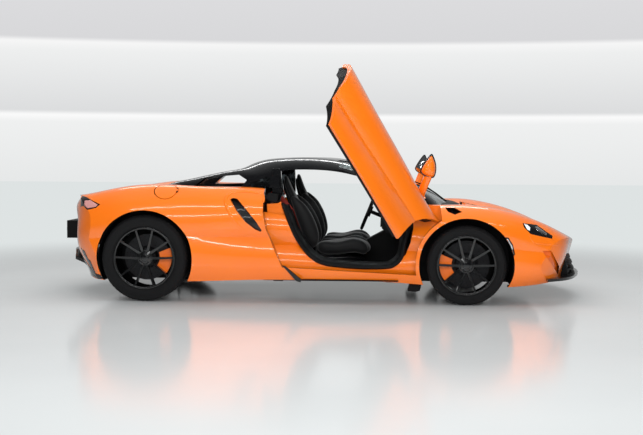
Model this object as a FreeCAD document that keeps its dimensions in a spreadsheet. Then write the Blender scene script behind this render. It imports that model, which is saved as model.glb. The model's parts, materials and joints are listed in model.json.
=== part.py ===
import FreeCAD, Part

import math
import os

import Sketcher
from FreeCAD import Matrix, Placement, Rotation, Vector

# Supercar with both doors open, in millimetres.
# +X points forward, +Y to the car's left and +Z up; the origin is on the ground at mid-length.

document = FreeCAD.newDocument("supercar")

# Driving dimensions
DIMENSIONS = {
    # Whole car
    "car_length": 4540,
    "car_width": 1912,
    "roof_height": 1193,
    "belly_height": 140,
    "front_axle_x": 1252,
    "rear_axle_x": -1388,
    "front_track": 1650,
    "rear_track": 1613,
    # Tyres and rims
    "front_tyre_radius": 323.5,
    "front_tyre_width": 235,
    "front_rim_radius": 243,
    "rear_tyre_radius": 357,
    "rear_tyre_width": 295,
    "rear_rim_radius": 256,
    "rim_wall": 8,
    "rim_flange": 10,
    "tyre_shoulder": 30,
    "tyre_seat_gap": 0.3,
    "spoke_width": 20,
    "spoke_depth": 24,
    "spoke_count": 5,
    "hub_radius": 64,
    "cap_radius": 30,
    "bolt_circle_radius": 56,
    "bolt_hole_radius": 7.5,
    "dish_depth": 34,
    # Brakes and uprights
    "front_disc_radius": 195,
    "rear_disc_radius": 190,
    "disc_thickness": 32,
    "disc_bell_radius": 92,
    "disc_inset": 40,
    "caliper_reach": 78,
    "caliper_angle": 62,
    "caliper_drop_angle": 9,
    "caliper_overhang": 22,
    "running_clearance": 6,
    "upright_radius": 52,
    "upright_length": 70,
    "ball_joint_height": 118,
    "ball_joint_radius": 16,
    "wishbone_tube_radius": 13,
    "wishbone_spread": 190,
    # Body shell
    "panel_wall": 28,
    "recess_depth": 46,
    "roof_bond": 0.3,
    "roof_wall": 22,
    "foot_wall": 10,
    "glass_wall": 5,
    "door_wall": 92,
    "jamb_depth": 102,
    "jamb_wall": 14,
    "panel_gap": 7,
    "lid_gap": 12,
    "front_arch_radius": 384,
    "rear_arch_radius": 398,
    "arch_centre_z": 322,
    "rear_arch_centre_z": 354,
    "liner_wall": 6,
    "overrun": 60,
    "floor_plate": 28,
    "floor_half_width": 430,
    "front_split_x": 840,
    # Doors
    "door_axis_x": 905,
    "door_axis_y": 750,
    "door_axis_z": 857,
    "door_axis_tilt": 35.71,
    "door_axis_turn": 32.44,
    "door_opening": 66.3,
    "door_front_lip": 38,
    "door_bottom_front_z": 245,
    "door_bottom_rear_x": -240,
    "door_bottom_rear_z": 300,
    "seal_width": 22,
    "door_top_wall": 60,
    "lining_inset": 12,
    "hinge_pin_radius": 9,
    "hinge_eye_radius": 18,
    "hinge_eye_length": 30,
    "hinge_fit": 0.05,
    "hinge_cheek_gap": 1,
    "door_swing_room": 14,
    "hinge_web": 20,
    # Bonnet, engine cover and fuel flap
    "bonnet_rear_x": 1290,
    "bonnet_front_x": 1930,
    "bonnet_half_width_rear": 560,
    "bonnet_half_width_front": 380,
    "bonnet_low_z": 420,
    "deck_front_x": -640,
    "deck_rear_x": -1800,
    "deck_half_width": 450,
    "channel_half_width": 470,
    "rear_screen_x": -602,
    "buttress_x": -545,
    "underfloor_reach": 1650,
    "deck_low_z": 700,
    "bonnet_hinge_back": 14,
    "bonnet_hinge_y": 300,
    "bonnet_hinge_z": 784,
    "lid_pin_radius": 4,
    "lid_eye_radius": 8,
    "lid_eye_length": 24,
    "flap_radius": 92,
    "flap_x": -1225,
    "flap_y": 838,
    "flap_z": 913,
    "flap_tilt": 52,
    # Cabin
    "floor_thickness": 38,
    "bulkhead_thickness": 40,
    "press_gap": 0.3,
    "cabin_front_x": 850,
    "cabin_rear_x": -420,
    "cabin_half_width": 760,
    "sill_top_z": 300,
    "sill_width": 130,
    "chassis_half_width": 420,
    "front_chassis_x": 1500,
    "rear_chassis_x": -1650,
    "rail_top_z": 520,
    "front_wall_top_z": 740,
    "wall_step_z": 590,
    "wall_half_width": 590,
    "rear_wall_top_z": 860,
    "front_liner_y": 520,
    "rear_liner_y": 640,
    "seat_width": 500,
    "seat_centre_y": 375,
    "seat_front_x": 470,
    "seat_back_x": -300,
    "seat_top_z": 1045,
    "dash_front_x": 860,
    "dash_rear_x": 560,
    "dash_top_z": 800,
    "dash_bottom_z": 560,
    "dash_half_width": 600,
    "console_half_width": 85,
    "console_top_z": 430,
    "steering_wheel_radius": 175,
    "steering_rim_radius": 15,
    "steering_wheel_x": 430,
    "steering_wheel_z": 700,
    "steering_tilt": 22,
    "column_radius": 28,
    # Machinery and ends
    "engine_length": 620,
    "engine_width": 560,
    "engine_height": 470,
    "engine_x": -900,
    "exhaust_radius": 50,
    "exhaust_wall": 3,
    "exhaust_length": 210,
    "exhaust_y": 92,
    "exhaust_z": 540,
    "surround_half_width": 185,
    "surround_low_z": 462,
    "surround_high_z": 618,
    "surround_inset": 14,
    "tail_mesh_x": -1700,
    "tail_mesh_half": 640,
    "tail_mesh_low": 480,
    "tail_mesh_high": 768,
    "insert_lap": 10,
    "insert_wall": 12,
    "slat_height": 12,
    "slat_pitch": 48,
    "splitter_thickness": 22,
    "splitter_high_z": 222,
    "splitter_rear_x": 1900,
    "diffuser_half_width": 600,
    "diffuser_top_z": 372,
    "fin_thickness": 10,
    "fin_pitch": 170,
    "mirror_length": 110,
    "mirror_height": 72,
    "mirror_depth": 48,
    "mirror_x": 625,
    "mirror_y": 960,
    "mirror_z": 893,
    "jack_pad_size": 80,
    "jack_pad_x": 640,
    "jack_pad_rear_x": -300,
    "jack_pad_y": 690,
    "jack_pad_drop": 10,
}

sheet = document.addObject("Spreadsheet::Sheet", "Sizes")
for row, (alias, value) in enumerate(DIMENSIONS.items(), start=1):
    sheet.set(f"A{row}", alias.replace("_", " "))
    sheet.set(f"B{row}", str(value))
    sheet.setAlias(f"B{row}", alias)
document.recompute()


def size(alias):
    """A driving dimension, read from the sheet."""
    return float(sheet.get(alias))


half_length = size("car_length") / 2
half_width = size("car_width") / 2
roof_height = size("roof_height")
SIDES = {"right": -1, "left": 1}

sub_parts = []


def keep(label, feature, placement=None):
    """Gives a finished sub-part its label and place, and lists it for writing."""
    feature.Label = label
    if placement is not None:
        feature.Placement = placement
    sub_parts.append(feature)
    return feature


def keep_shape(label, shape):
    """Keeps a shape worked out from the sheet as a sub-part."""
    feature = document.addObject("Part::Feature", label)
    feature.Shape = shape
    return keep(label, feature)


def mirrored(shape):
    """The same shape on the car's other side."""
    return shape.mirror(Vector(0, 0, 0), Vector(0, 1, 0))


def both_sides(shape):
    """A shape with its mirror image, as one compound of two solids."""
    return Part.Compound([shape, mirrored(shape)])


def one_solid(shape):
    """The largest solid of a cut shape, without crumbs."""
    return max(shape.Solids, key=lambda solid: solid.Volume)


# Sketch helpers
def sketch_on(body, role, name):
    """A sketch on one of a body's origin planes."""
    plane = [item for item in body.Origin.OriginFeatures if item.Role == role][0]
    sketch = body.newObject("Sketcher::SketchObject", name)
    sketch.AttachmentSupport = (plane, [""])
    sketch.MapMode = "FlatFace"
    return sketch


def outline(sketch, corners):
    """A closed outline of straight edges; each corner is a pair of expressions on the sheet."""
    first = sketch.GeometryCount
    count = len(corners)
    turn = 2 * math.pi / count
    starts = [Vector(math.cos(turn * i), math.sin(turn * i)) for i in range(count)]
    for i in range(count):
        sketch.addGeometry(Part.LineSegment(starts[i], starts[(i + 1) % count]), False)
    for i in range(count):
        after = first + (i + 1) % count
        sketch.addConstraint(Sketcher.Constraint("Coincident", first + i, 2, after, 1))
    for i, corner in enumerate(corners):
        for kind, expression, start in zip(("DistanceX", "DistanceY"), corner, starts[i]):
            constraint = Sketcher.Constraint(kind, -1, 1, first + i, 1, start)
            number = sketch.addConstraint(constraint)
            sketch.setExpression(f"Constraints[{number}]", expression)


def circle(sketch, across, up, radius):
    """A circle whose centre and radius are expressions on the sheet."""
    index = sketch.addGeometry(Part.Circle(Vector(0, 0), Vector(0, 0, 1), 1), False)
    number = sketch.addConstraint(Sketcher.Constraint("DistanceX", -1, 1, index, 3, 1))
    sketch.setExpression(f"Constraints[{number}]", across)
    number = sketch.addConstraint(Sketcher.Constraint("DistanceY", -1, 1, index, 3, 1))
    sketch.setExpression(f"Constraints[{number}]", up)
    number = sketch.addConstraint(Sketcher.Constraint("Radius", index, 1))
    sketch.setExpression(f"Constraints[{number}]", radius)


def revolve(body, sketch, name):
    """A full turn of a sketch about its own upright axis."""
    feature = body.newObject("PartDesign::Revolution", name)
    feature.Profile = sketch
    feature.ReferenceAxis = (sketch, ["V_Axis"])
    feature.Angle = 360
    return feature


def pad(body, sketch, name, length, both_ways=False, backwards=False):
    """A straight push of a sketch; its length is an expression on the sheet."""
    feature = body.newObject("PartDesign::Pad", name)
    feature.Profile = sketch
    feature.setExpression("Length", length)
    feature.Midplane = both_ways
    feature.Reversed = backwards
    return feature


def polar(body, features, name, count):
    """Copies of features all the way round the wheel's axis."""
    pattern = body.newObject("PartDesign::PolarPattern", name)
    pattern.Originals = features
    axis = [item for item in body.Origin.OriginFeatures if item.Role == "Y_Axis"][0]
    pattern.Axis = (axis, [""])
    pattern.Angle = 360
    pattern.setExpression("Occurrences", count)
    body.Tip = pattern
    return pattern


# Body hull: cross-sections along the car, in shares of half length, half width and roof height.
# Each row: place along the car, then out and up of foot, flare, waist, shoulder, crest, inner top and centre.
SECTION_SHARES = [
    (1.04, (0.60, 0.185), (0.66, 0.23), (0.68, 0.28), (0.64, 0.315), (0.50, 0.31), (0.28, 0.305), (0, 0.30)),
    (0.985, (0.66, 0.185), (0.73, 0.235), (0.75, 0.30), (0.70, 0.36), (0.56, 0.385), (0.30, 0.39), (0, 0.392)),
    (0.93, (0.74, 0.185), (0.83, 0.235), (0.86, 0.32), (0.80, 0.42), (0.68, 0.452), (0.40, 0.462), (0, 0.467)),
    (0.84, (0.84, 0.150), (0.93, 0.215), (0.935, 0.36), (0.90, 0.475), (0.77, 0.542), (0.50, 0.517), (0, 0.512)),
    (0.75, (0.88, 0.128), (0.955, 0.20), (0.965, 0.38), (0.935, 0.545), (0.775, 0.610), (0.50, 0.570), (0, 0.555)),
    (0.655, (0.89, 0.115), (0.96, 0.20), (0.978, 0.40), (0.95, 0.60), (0.775, 0.656), (0.50, 0.610), (0, 0.592)),
    (0.55, (0.89, 0.110), (0.96, 0.20), (0.985, 0.41), (0.955, 0.615), (0.77, 0.678), (0.50, 0.638), (0, 0.62)),
    (0.44, (0.90, 0.125), (0.96, 0.21), (0.970, 0.41), (0.945, 0.60), (0.79, 0.670), (0.50, 0.655), (0, 0.65)),
    (0.26, (0.92, 0.150), (0.972, 0.225), (0.945, 0.43), (0.940, 0.62), (0.82, 0.700), (0.50, 0.700), (0, 0.70)),
    (0.00, (0.93, 0.158), (0.975, 0.235), (0.938, 0.44), (0.945, 0.66), (0.835, 0.735), (0.50, 0.735), (0, 0.735)),
    (-0.20, (0.93, 0.155), (0.975, 0.24), (0.945, 0.45), (0.955, 0.68), (0.84, 0.770), (0.50, 0.760), (0, 0.755)),
    (-0.42, (0.93, 0.140), (0.978, 0.24), (0.972, 0.45), (0.970, 0.66), (0.83, 0.784), (0.55, 0.765), (0, 0.755)),
    (-0.61, (0.92, 0.132), (0.975, 0.23), (0.995, 0.45), (0.978, 0.67), (0.80, 0.797), (0.50, 0.772), (0, 0.76)),
    (-0.75, (0.91, 0.135), (0.965, 0.23), (0.985, 0.44), (0.96, 0.65), (0.79, 0.764), (0.50, 0.745), (0, 0.74)),
    (-0.87, (0.87, 0.19), (0.925, 0.26), (0.945, 0.42), (0.92, 0.61), (0.78, 0.712), (0.50, 0.716), (0, 0.716)),
    (-1.04, (0.74, 0.23), (0.79, 0.29), (0.81, 0.41), (0.78, 0.55), (0.68, 0.645), (0.45, 0.66), (0, 0.66)),
]
WAIST_INDEX = 2
SHOULDER_INDEX = 3
# Nose and tail seen from above: share of height, then the nose's and the tail's reach at each of PLAN_WIDTH_SHARES.
PLAN_WIDTH_SHARES = (0, 0.26, 0.52, 0.84, 0.97, 1.10)
PLAN_SHARES = [
    (0.06, (0.905, 0.900, 0.885, 0.840, 0.780, 0.64), (0.870, 0.860, 0.840, 0.800, 0.750, 0.61)),
    (0.17, (0.950, 0.940, 0.915, 0.865, 0.800, 0.66), (0.900, 0.885, 0.860, 0.820, 0.765, 0.625)),
    (0.24, (0.962, 0.948, 0.922, 0.873, 0.808, 0.67), (0.935, 0.910, 0.875, 0.835, 0.780, 0.64)),
    (0.31, (0.970, 0.955, 0.930, 0.884, 0.815, 0.675), (0.950, 0.925, 0.893, 0.852, 0.795, 0.655)),
    (0.39, (0.9825, 0.965, 0.940, 0.893, 0.822, 0.68), (0.958, 0.934, 0.903, 0.866, 0.810, 0.67)),
    (0.55, (0.985, 0.967, 0.943, 0.897, 0.830, 0.69), (0.958, 0.933, 0.902, 0.866, 0.815, 0.675)),
    (0.70, (0.985, 0.967, 0.943, 0.897, 0.830, 0.69), (0.952, 0.926, 0.894, 0.857, 0.815, 0.675)),
    (0.90, (0.985, 0.967, 0.943, 0.897, 0.830, 0.69), (0.945, 0.918, 0.887, 0.850, 0.810, 0.67)),
]


def smooth(points):
    """A smooth curve through points."""
    curve = Part.BSplineCurve()
    curve.interpolate(points)
    return curve.toShape()


def across(point):
    """The same point on the car's other side."""
    return Vector(point.x, -point.y, point.z)


def section_wire(row, inset):
    """One cross-section: a lower side up to the waist's crease, a smooth top, and a straight belly."""
    along = row[0] * half_length
    foot_rise = size("foot_wall") * inset / size("panel_wall")
    half = []
    for index, (out_share, up_share) in enumerate(row[1:]):
        out = max(out_share * half_width - inset * (out_share > 0), 0)
        up = up_share * roof_height
        up += foot_rise if index == 0 else -inset * min(index / SHOULDER_INDEX, 1)
        half.append(Vector(along, out, up))
    lower = half[: WAIST_INDEX + 1]
    upper = half[WAIST_INDEX:]
    top = upper + [across(point) for point in reversed(upper[:-1])]
    other = [across(point) for point in reversed(lower)]
    belly = Part.LineSegment(other[-1], half[0])
    return Part.Wire([smooth(lower), smooth(top), smooth(other), belly.toShape()])


def end_points(reaches, level, inset, sign):
    """Points on the nose's or tail's line at one level, from one side of the car to the other."""
    half = []
    for width_share, reach_share in zip(PLAN_WIDTH_SHARES, reaches):
        half.append(Vector(sign * (reach_share * half_length - inset), width_share * half_width, level))
    return [across(point) for point in reversed(half[1:])] + half


def plan_wire(row, inset):
    """One level outline: nose curve, side, tail curve, side."""
    level = row[0] * roof_height
    nose = end_points(row[1], level, inset, 1)
    tail = end_points(row[2], level, inset, -1)
    left = Part.LineSegment(nose[-1], tail[-1])
    right = Part.LineSegment(tail[0], nose[0])
    return Part.Wire([smooth(nose), left.toShape(), smooth(tail), right.toShape()])


def plan_loft(rows, inset=0):
    """A closed form between level outlines."""
    return Part.makeLoft([plan_wire(row, inset) for row in rows], True)


def body_hull(inset):
    """The closed body below the windows, shrunk by an inset: sections along it, trimmed by its plan."""
    long_loft = Part.makeLoft([section_wire(row, inset) for row in SECTION_SHARES], True)
    return one_solid(long_loft.common(plan_loft(PLAN_SHARES, inset)))


# Glasshouse: windscreen, roof and the fast tail behind it, in the same shares.
GLASSHOUSE_SHARES = [
    (0.54, (0.62, 0.56), (0.58, 0.60), (0.50, 0.625), (0.40, 0.632), (0.20, 0.638), (0, 0.64)),
    (0.44, (0.74, 0.60), (0.72, 0.655), (0.66, 0.695), (0.52, 0.725), (0.28, 0.745), (0, 0.75)),
    (0.36, (0.80, 0.60), (0.79, 0.70), (0.74, 0.755), (0.58, 0.795), (0.30, 0.815), (0, 0.82)),
    (0.22, (0.825, 0.60), (0.81, 0.72), (0.75, 0.80), (0.58, 0.885), (0.30, 0.912), (0, 0.92)),
    (0.09, (0.835, 0.60), (0.815, 0.735), (0.745, 0.85), (0.575, 0.955), (0.30, 0.983), (0, 0.99)),
    (-0.02, (0.835, 0.60), (0.815, 0.745), (0.74, 0.865), (0.57, 0.978), (0.30, 0.999), (0, 1.0)),
    (-0.13, (0.83, 0.60), (0.81, 0.75), (0.73, 0.865), (0.56, 0.975), (0.30, 0.993), (0, 0.995)),
    (-0.25, (0.80, 0.60), (0.78, 0.76), (0.71, 0.86), (0.56, 0.930), (0.30, 0.948), (0, 0.95)),
    (-0.29, (0.78, 0.60), (0.765, 0.765), (0.72, 0.84), (0.62, 0.905), (0.50, 0.912), (0, 0.91)),
    (-0.38, (0.74, 0.60), (0.735, 0.765), (0.70, 0.815), (0.62, 0.872), (0.50, 0.880), (0, 0.88)),
    (-0.48, (0.70, 0.60), (0.69, 0.765), (0.665, 0.79), (0.60, 0.832), (0.50, 0.838), (0, 0.838)),
    (-0.56, (0.66, 0.60), (0.655, 0.75), (0.63, 0.77), (0.58, 0.795), (0.50, 0.798), (0, 0.798)),
    (-0.64, (0.60, 0.58), (0.59, 0.66), (0.57, 0.68), (0.53, 0.70), (0.46, 0.70), (0, 0.70)),
]


def glasshouse(inset):
    """The closed cabin top, shrunk by an inset."""
    wires = []
    for row in GLASSHOUSE_SHARES:
        along = row[0] * half_length
        half = []
        for index, (out_share, up_share) in enumerate(row[1:]):
            out = max(out_share * half_width - inset * (out_share > 0), 0)
            up = up_share * roof_height - inset * min(index / 2, 1)
            half.append(Vector(along, out, up))
        other = [across(point) for point in reversed(half[:-1])]
        foot = Part.LineSegment(other[-1], half[0])
        wires.append(Part.Wire([smooth(half + other), foot.toShape()]))
    return one_solid(Part.makeLoft(wires, True))


def side_prism(points, near, far):
    """A prism through the car's side: an outline of X and Z places pushed from near to far in Y."""
    corners = [Vector(along, near, up) for along, up in points]
    face = Part.Face(Part.makePolygon(corners + [corners[0]]))
    return face.extrude(Vector(0, far - near, 0))


def wheel_hole(axle_x, centre_z, radius, near, far):
    """A round hole through the car's side about an axle."""
    return Part.makeCylinder(radius, far - near, Vector(axle_x, near, centre_z), Vector(0, 1, 0))


def block(x_low, x_high, y_low, y_high, z_low, z_high):
    """A plain box between two corners."""
    low = Vector(x_low, y_low, z_low)
    return Part.makeBox(x_high - x_low, y_high - y_low, z_high - z_low, low)


def plan_prism(corners, low, high):
    """A prism seen from above: an outline of X and Y places pushed up from low to high."""
    points = [Vector(along, out, low) for along, out in corners]
    face = Part.Face(Part.makePolygon(points + [points[0]]))
    return face.extrude(Vector(0, 0, high - low))


def in_side_view(shares):
    """Points of a side view in millimetres, from shares of half length and roof height."""
    return [(along * half_length, up * roof_height) for along, up in shares]


def grown(points, gap):
    """A convex outline pushed outwards all round by a gap."""
    middle_x = sum(x for x, z in points) / len(points)
    middle_z = sum(z for x, z in points) / len(points)
    bigger = []
    for x, z in points:
        reach = math.hypot(x - middle_x, z - middle_z)
        bigger.append((x + (x - middle_x) / reach * gap, z + (z - middle_z) / reach * gap))
    return bigger


overrun = size("overrun")
panel_wall = size("panel_wall")
jamb_depth = size("jamb_depth")
outer_hull = body_hull(0)
inner_hull = body_hull(panel_wall)
backing_hull = body_hull(panel_wall + size("insert_wall"))
recess_hull = body_hull(size("recess_depth"))
door_hull = body_hull(size("door_wall"))
jamb_hull = body_hull(jamb_depth)
jamb_back = body_hull(jamb_depth + size("jamb_wall"))
body_shell = outer_hull.cut(inner_hull)
outer_top = glasshouse(0)
inner_top = glasshouse(size("roof_wall"))
glass_top = glasshouse(size("glass_wall"))
door_top = glasshouse(size("door_top_wall"))

side_near = half_width + overrun
side_far = half_width * 0.60
press_gap = size("press_gap")
front_axle_x = size("front_axle_x")
rear_axle_x = size("rear_axle_x")
front_arch_radius = size("front_arch_radius")
rear_arch_radius = size("rear_arch_radius")
arch_z = size("arch_centre_z")
rear_arch_z = size("rear_arch_centre_z")
panel_gap = size("panel_gap")

# The door's belt and rear edge in side view, and its inner limit in plan, in the usual shares
BELT_SHARES = [(-0.177, 0.786), (-0.064, 0.764), (0.098, 0.728), (0.247, 0.713), (0.335, 0.728), (0.388, 0.731)]
BELT_SHARES += [(0.423, 0.713), (0.455, 0.665)]
REAR_EDGE_SHARES = [(-0.140, 0.386), (-0.165, 0.503), (-0.176, 0.620)]
DOOR_PLAN_SHARES = [(-0.203, 0.60), (0.20, 0.66), (0.30, 0.74), (0.35, 0.785), (0.44, 0.80), (0.53, 0.83)]
DOOR_TIP_ANGLE = 120


def door_outline(gap):
    """The door seen from the side, grown by a gap: an arc round the front wheel, then straight runs."""
    lip = front_arch_radius + size("door_front_lip") - gap
    bottom = size("door_bottom_front_z") - gap
    low_angle = math.pi - math.asin((bottom - arch_z) / lip)
    high_angle = math.radians(DOOR_TIP_ANGLE) - gap / lip
    steps = 8
    points = []
    for step in range(steps + 1):
        angle = low_angle + (high_angle - low_angle) * step / steps
        points.append((front_axle_x + lip * math.cos(angle), arch_z + lip * math.sin(angle)))
    belt = in_side_view(BELT_SHARES)
    points += [(x + gap * (x > 0.4 * half_length), z + gap) for x, z in reversed(belt[1:])]
    points.append((belt[0][0] - gap, belt[0][1] + gap))
    points += [(x - gap, z) for x, z in reversed(in_side_view(REAR_EDGE_SHARES))]
    points.append((size("door_bottom_rear_x") - gap, size("door_bottom_rear_z") - gap))
    return points


def door_zone(gap, swing=0):
    """All of the right-hand door's space, grown by a gap, and by more room inwards for its swing."""
    inner = [(x * half_length + gap, -y * half_width + gap + swing) for x, y in DOOR_PLAN_SHARES]
    inner[0] = (inner[0][0] - overrun, inner[0][1])
    outer = [(inner[-1][0], -side_near), (inner[0][0], -side_near)]
    plan = plan_prism(inner + outer, 0, roof_height)
    return side_prism(door_outline(gap), -side_near, -half_width / 2).common(plan)


# Door hinge axis of the right door: up and inwards, so that the door swings up and out
turn = math.radians(size("door_axis_turn"))
tilt = math.radians(size("door_axis_tilt"))
hinge_point = Vector(size("door_axis_x"), -size("door_axis_y"), size("door_axis_z"))
hinge_axis = Vector(-math.sin(turn) * math.cos(tilt), math.cos(turn) * math.cos(tilt), math.sin(tilt))


def opened(shape):
    """A right-hand door piece turned from shut to open."""
    moved = shape.copy()
    moved.rotate(hinge_point, hinge_axis, size("door_opening"))
    return moved


def rod(radius, centre, axis, start, end):
    """A round bar on an axis, between two places along it."""
    return Part.makeCylinder(radius, end - start, centre + axis * start, axis)


def hinge_pair(centre, axis, pin, eye, length):
    """A hinge: the moving eye, the fork with its pin, and the room that the fork needs."""
    fit = size("hinge_fit")
    half = length / 2
    moving = rod(eye, centre, axis, -half, half).cut(rod(pin + fit, centre, axis, -half, half))
    fork = rod(pin, centre, axis, -length, length)
    cheeks = [rod(eye, centre, axis, half + fit, length), rod(eye, centre, axis, -length, -half - fit)]
    return moving, one_solid(fork.fuse(cheeks))


whole_outer = outer_hull.fuse(outer_top)
door_place = door_zone(0)
door_skin = one_solid(whole_outer.common(door_place).cut([inner_hull, inner_top]))
lining_place = door_zone(-size("lining_inset"))
door_lining = inner_hull.fuse(inner_top).common(lining_place).cut([door_hull, door_top])
door_lining = one_solid(door_lining)

web = size("hinge_web")
door_eye, door_fork = hinge_pair(
    hinge_point, hinge_axis, size("hinge_pin_radius"), size("hinge_eye_radius"), size("hinge_eye_length")
)
bore = rod(size("hinge_pin_radius") + size("hinge_fit"), hinge_point, hinge_axis, -overrun, overrun)
post = block(
    hinge_point.x - web / 2, hinge_point.x + web / 2, hinge_point.y - 1.2 * web, hinge_point.y - 0.2 * web,
    hinge_point.z - 3.5 * web, hinge_point.z,
)
half_eye = size("hinge_eye_length") / 2
fork_radius = size("hinge_eye_radius") + size("hinge_cheek_gap")
fork_rooms = [
    rod(fork_radius, hinge_point, hinge_axis, half_eye, 2 * overrun),
    rod(fork_radius, hinge_point, hinge_axis, -2 * overrun, -half_eye),
]
post = post.cut([bore, inner_hull, inner_top] + fork_rooms)
door_skin = one_solid(door_skin.fuse([door_eye, post]).cut(bore))
cheek = hinge_point + hinge_axis * size("hinge_eye_length") * 0.75
arm = block(cheek.x - web / 2, cheek.x + web / 2, cheek.y, -half_width * 0.64, cheek.z + 2, cheek.z + web)
door_fork = one_solid(door_fork.fuse(arm.cut(outer_top)))

keep_shape("door_skin_right", opened(door_skin))
keep_shape("door_trim_right", opened(door_lining))
keep_shape("door_skin_left", mirrored(opened(door_skin)))
keep_shape("door_trim_left", mirrored(opened(door_lining)))

# Holes through the shell
arches = [
    wheel_hole(front_axle_x, arch_z, front_arch_radius, -side_near, -half_width / 2),
    wheel_hole(rear_axle_x, rear_arch_z, rear_arch_radius, -side_near, -half_width / 2),
]
arches += [mirrored(hole) for hole in arches]
swing_room = size("door_swing_room")
door_gap_zone = door_zone(panel_gap, swing_room)
door_holes = [door_gap_zone, mirrored(door_gap_zone)]


def bonnet_prism(gap):
    """The front lid seen from above, grown by a gap."""
    rear = size("bonnet_rear_x") - gap
    front = size("bonnet_front_x") + gap
    wide = size("bonnet_half_width_rear") + gap
    narrow = size("bonnet_half_width_front") + gap
    corners = [(rear, -wide), (front, -narrow), (front, narrow), (rear, wide)]
    return plan_prism(corners, size("bonnet_low_z"), roof_height)


def deck_prism(gap):
    """The engine cover seen from above, grown by a gap."""
    front = size("deck_front_x") + gap
    rear = size("deck_rear_x") - gap
    half = size("deck_half_width") + gap
    corners = [(front, -half), (rear, -half), (rear, half), (front, half)]
    return plan_prism(corners, size("deck_low_z"), roof_height)


# Skin panels
belly = size("belly_height")
floor_top = belly + panel_wall
front_split_x = size("front_split_x")
rear_split_x = size("door_bottom_rear_x") + panel_gap
belly_half = size("cabin_half_width") + press_gap
belly_hole = block(-half_length, size("splitter_rear_x"), -belly_half, belly_half, 0, size("sill_top_z"))
diffuser_hole = block(
    -half_length, size("rear_chassis_x"), -size("diffuser_half_width"), size("diffuser_half_width"),
    0, size("diffuser_top_z"),
)
panels = body_shell.cut([inner_top, belly_hole, diffuser_hole] + arches + door_holes)
front_zone = block(front_split_x, half_length * 1.2, -side_near, side_near, 0, roof_height)
sill_zone = block(rear_split_x, front_split_x, -side_near, side_near, 0, size("door_bottom_rear_z"))
flap_tilt = math.radians(size("flap_tilt"))
flap_axis = Vector(0, -math.cos(flap_tilt), math.sin(flap_tilt))
flap_centre = Vector(size("flap_x"), -size("flap_y"), size("flap_z"))


def flap_bore(radius):
    """A round cutter square to the quarter panel at the fuel flap."""
    return rod(radius, flap_centre, flap_axis, -overrun, overrun)


# Openings in the skin and lamps, seen from the side: outlines in shares of half length and roof height
SIDE_INTAKE_SHARES = [(-0.300, 0.708), (-0.290, 0.718), (-0.274, 0.713), (-0.238, 0.640), (-0.202, 0.557)]
SIDE_INTAKE_SHARES += [(-0.183, 0.500), (-0.187, 0.488), (-0.206, 0.504), (-0.242, 0.557), (-0.274, 0.632)]
FENDER_VENT_SHARES = [(0.485, 0.633), (0.509, 0.616), (0.534, 0.635), (0.508, 0.661), (0.475, 0.660)]
SCOOP_SHARES = [(0.821, 0.374), (0.850, 0.378), (0.889, 0.257), (0.886, 0.199), (0.851, 0.292), (0.828, 0.349)]
HEADLAMP_SHARES = [(0.749, 0.562), (0.801, 0.549), (0.858, 0.474), (0.855, 0.456), (0.776, 0.490), (0.753, 0.534)]
TAIL_LAMP_SHARES = [(-0.863, 0.721), (-0.841, 0.713), (-0.777, 0.666), (-0.791, 0.643), (-0.825, 0.627)]
TAIL_LAMP_SHARES += [(-0.845, 0.653), (-0.863, 0.645)]


def skin_zone(shares, gap=0):
    """The right-hand side's space behind an outline, grown by a gap."""
    return side_prism(grown(in_side_view(shares), gap), -side_near, -side_far)


lap = size("insert_lap")
slots = [skin_zone(shares) for shares in (SIDE_INTAKE_SHARES, FENDER_VENT_SHARES, SCOOP_SHARES)]
lamp_zones = [skin_zone(HEADLAMP_SHARES), skin_zone(TAIL_LAMP_SHARES)]
skin_holes = slots + lamp_zones
skin_holes += [mirrored(hole) for hole in skin_holes]
mesh_zone = block(
    -half_length, size("tail_mesh_x"), -size("tail_mesh_half"), size("tail_mesh_half"),
    size("tail_mesh_low"), size("tail_mesh_high"),
)

flap_gap_bore = flap_bore(size("flap_radius") + panel_gap)
front_body = one_solid(panels.common(front_zone).cut([bonnet_prism(size("lid_gap"))] + skin_holes))
sills = sorted(panels.common(sill_zone).Solids, key=lambda solid: solid.Volume)[-2:]
rear_skin = panels.cut([front_zone, sill_zone, deck_prism(press_gap), flap_gap_bore, mesh_zone] + skin_holes)
rear_body = one_solid(rear_skin)
keep_shape("sills", Part.Compound(sills))
keep_shape("engine_cover", one_solid(panels.common(deck_prism(0)).cut(outer_top.cut(inner_top))))


def backing(shares):
    """A black liner behind a slot in the skin."""
    return one_solid(inner_hull.cut(backing_hull).common(skin_zone(shares, lap)))


vents = [backing(shares) for shares in (SIDE_INTAKE_SHARES, FENDER_VENT_SHARES, SCOOP_SHARES)]
keep_shape("vents", Part.Compound(vents + [mirrored(vent) for vent in vents]))
lamp_shell = outer_hull.cut(recess_hull)
keep_shape("headlamps", both_sides(one_solid(lamp_shell.common(lamp_zones[0]))))
keep_shape("tail_lamps", both_sides(one_solid(lamp_shell.common(lamp_zones[1]))))

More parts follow.
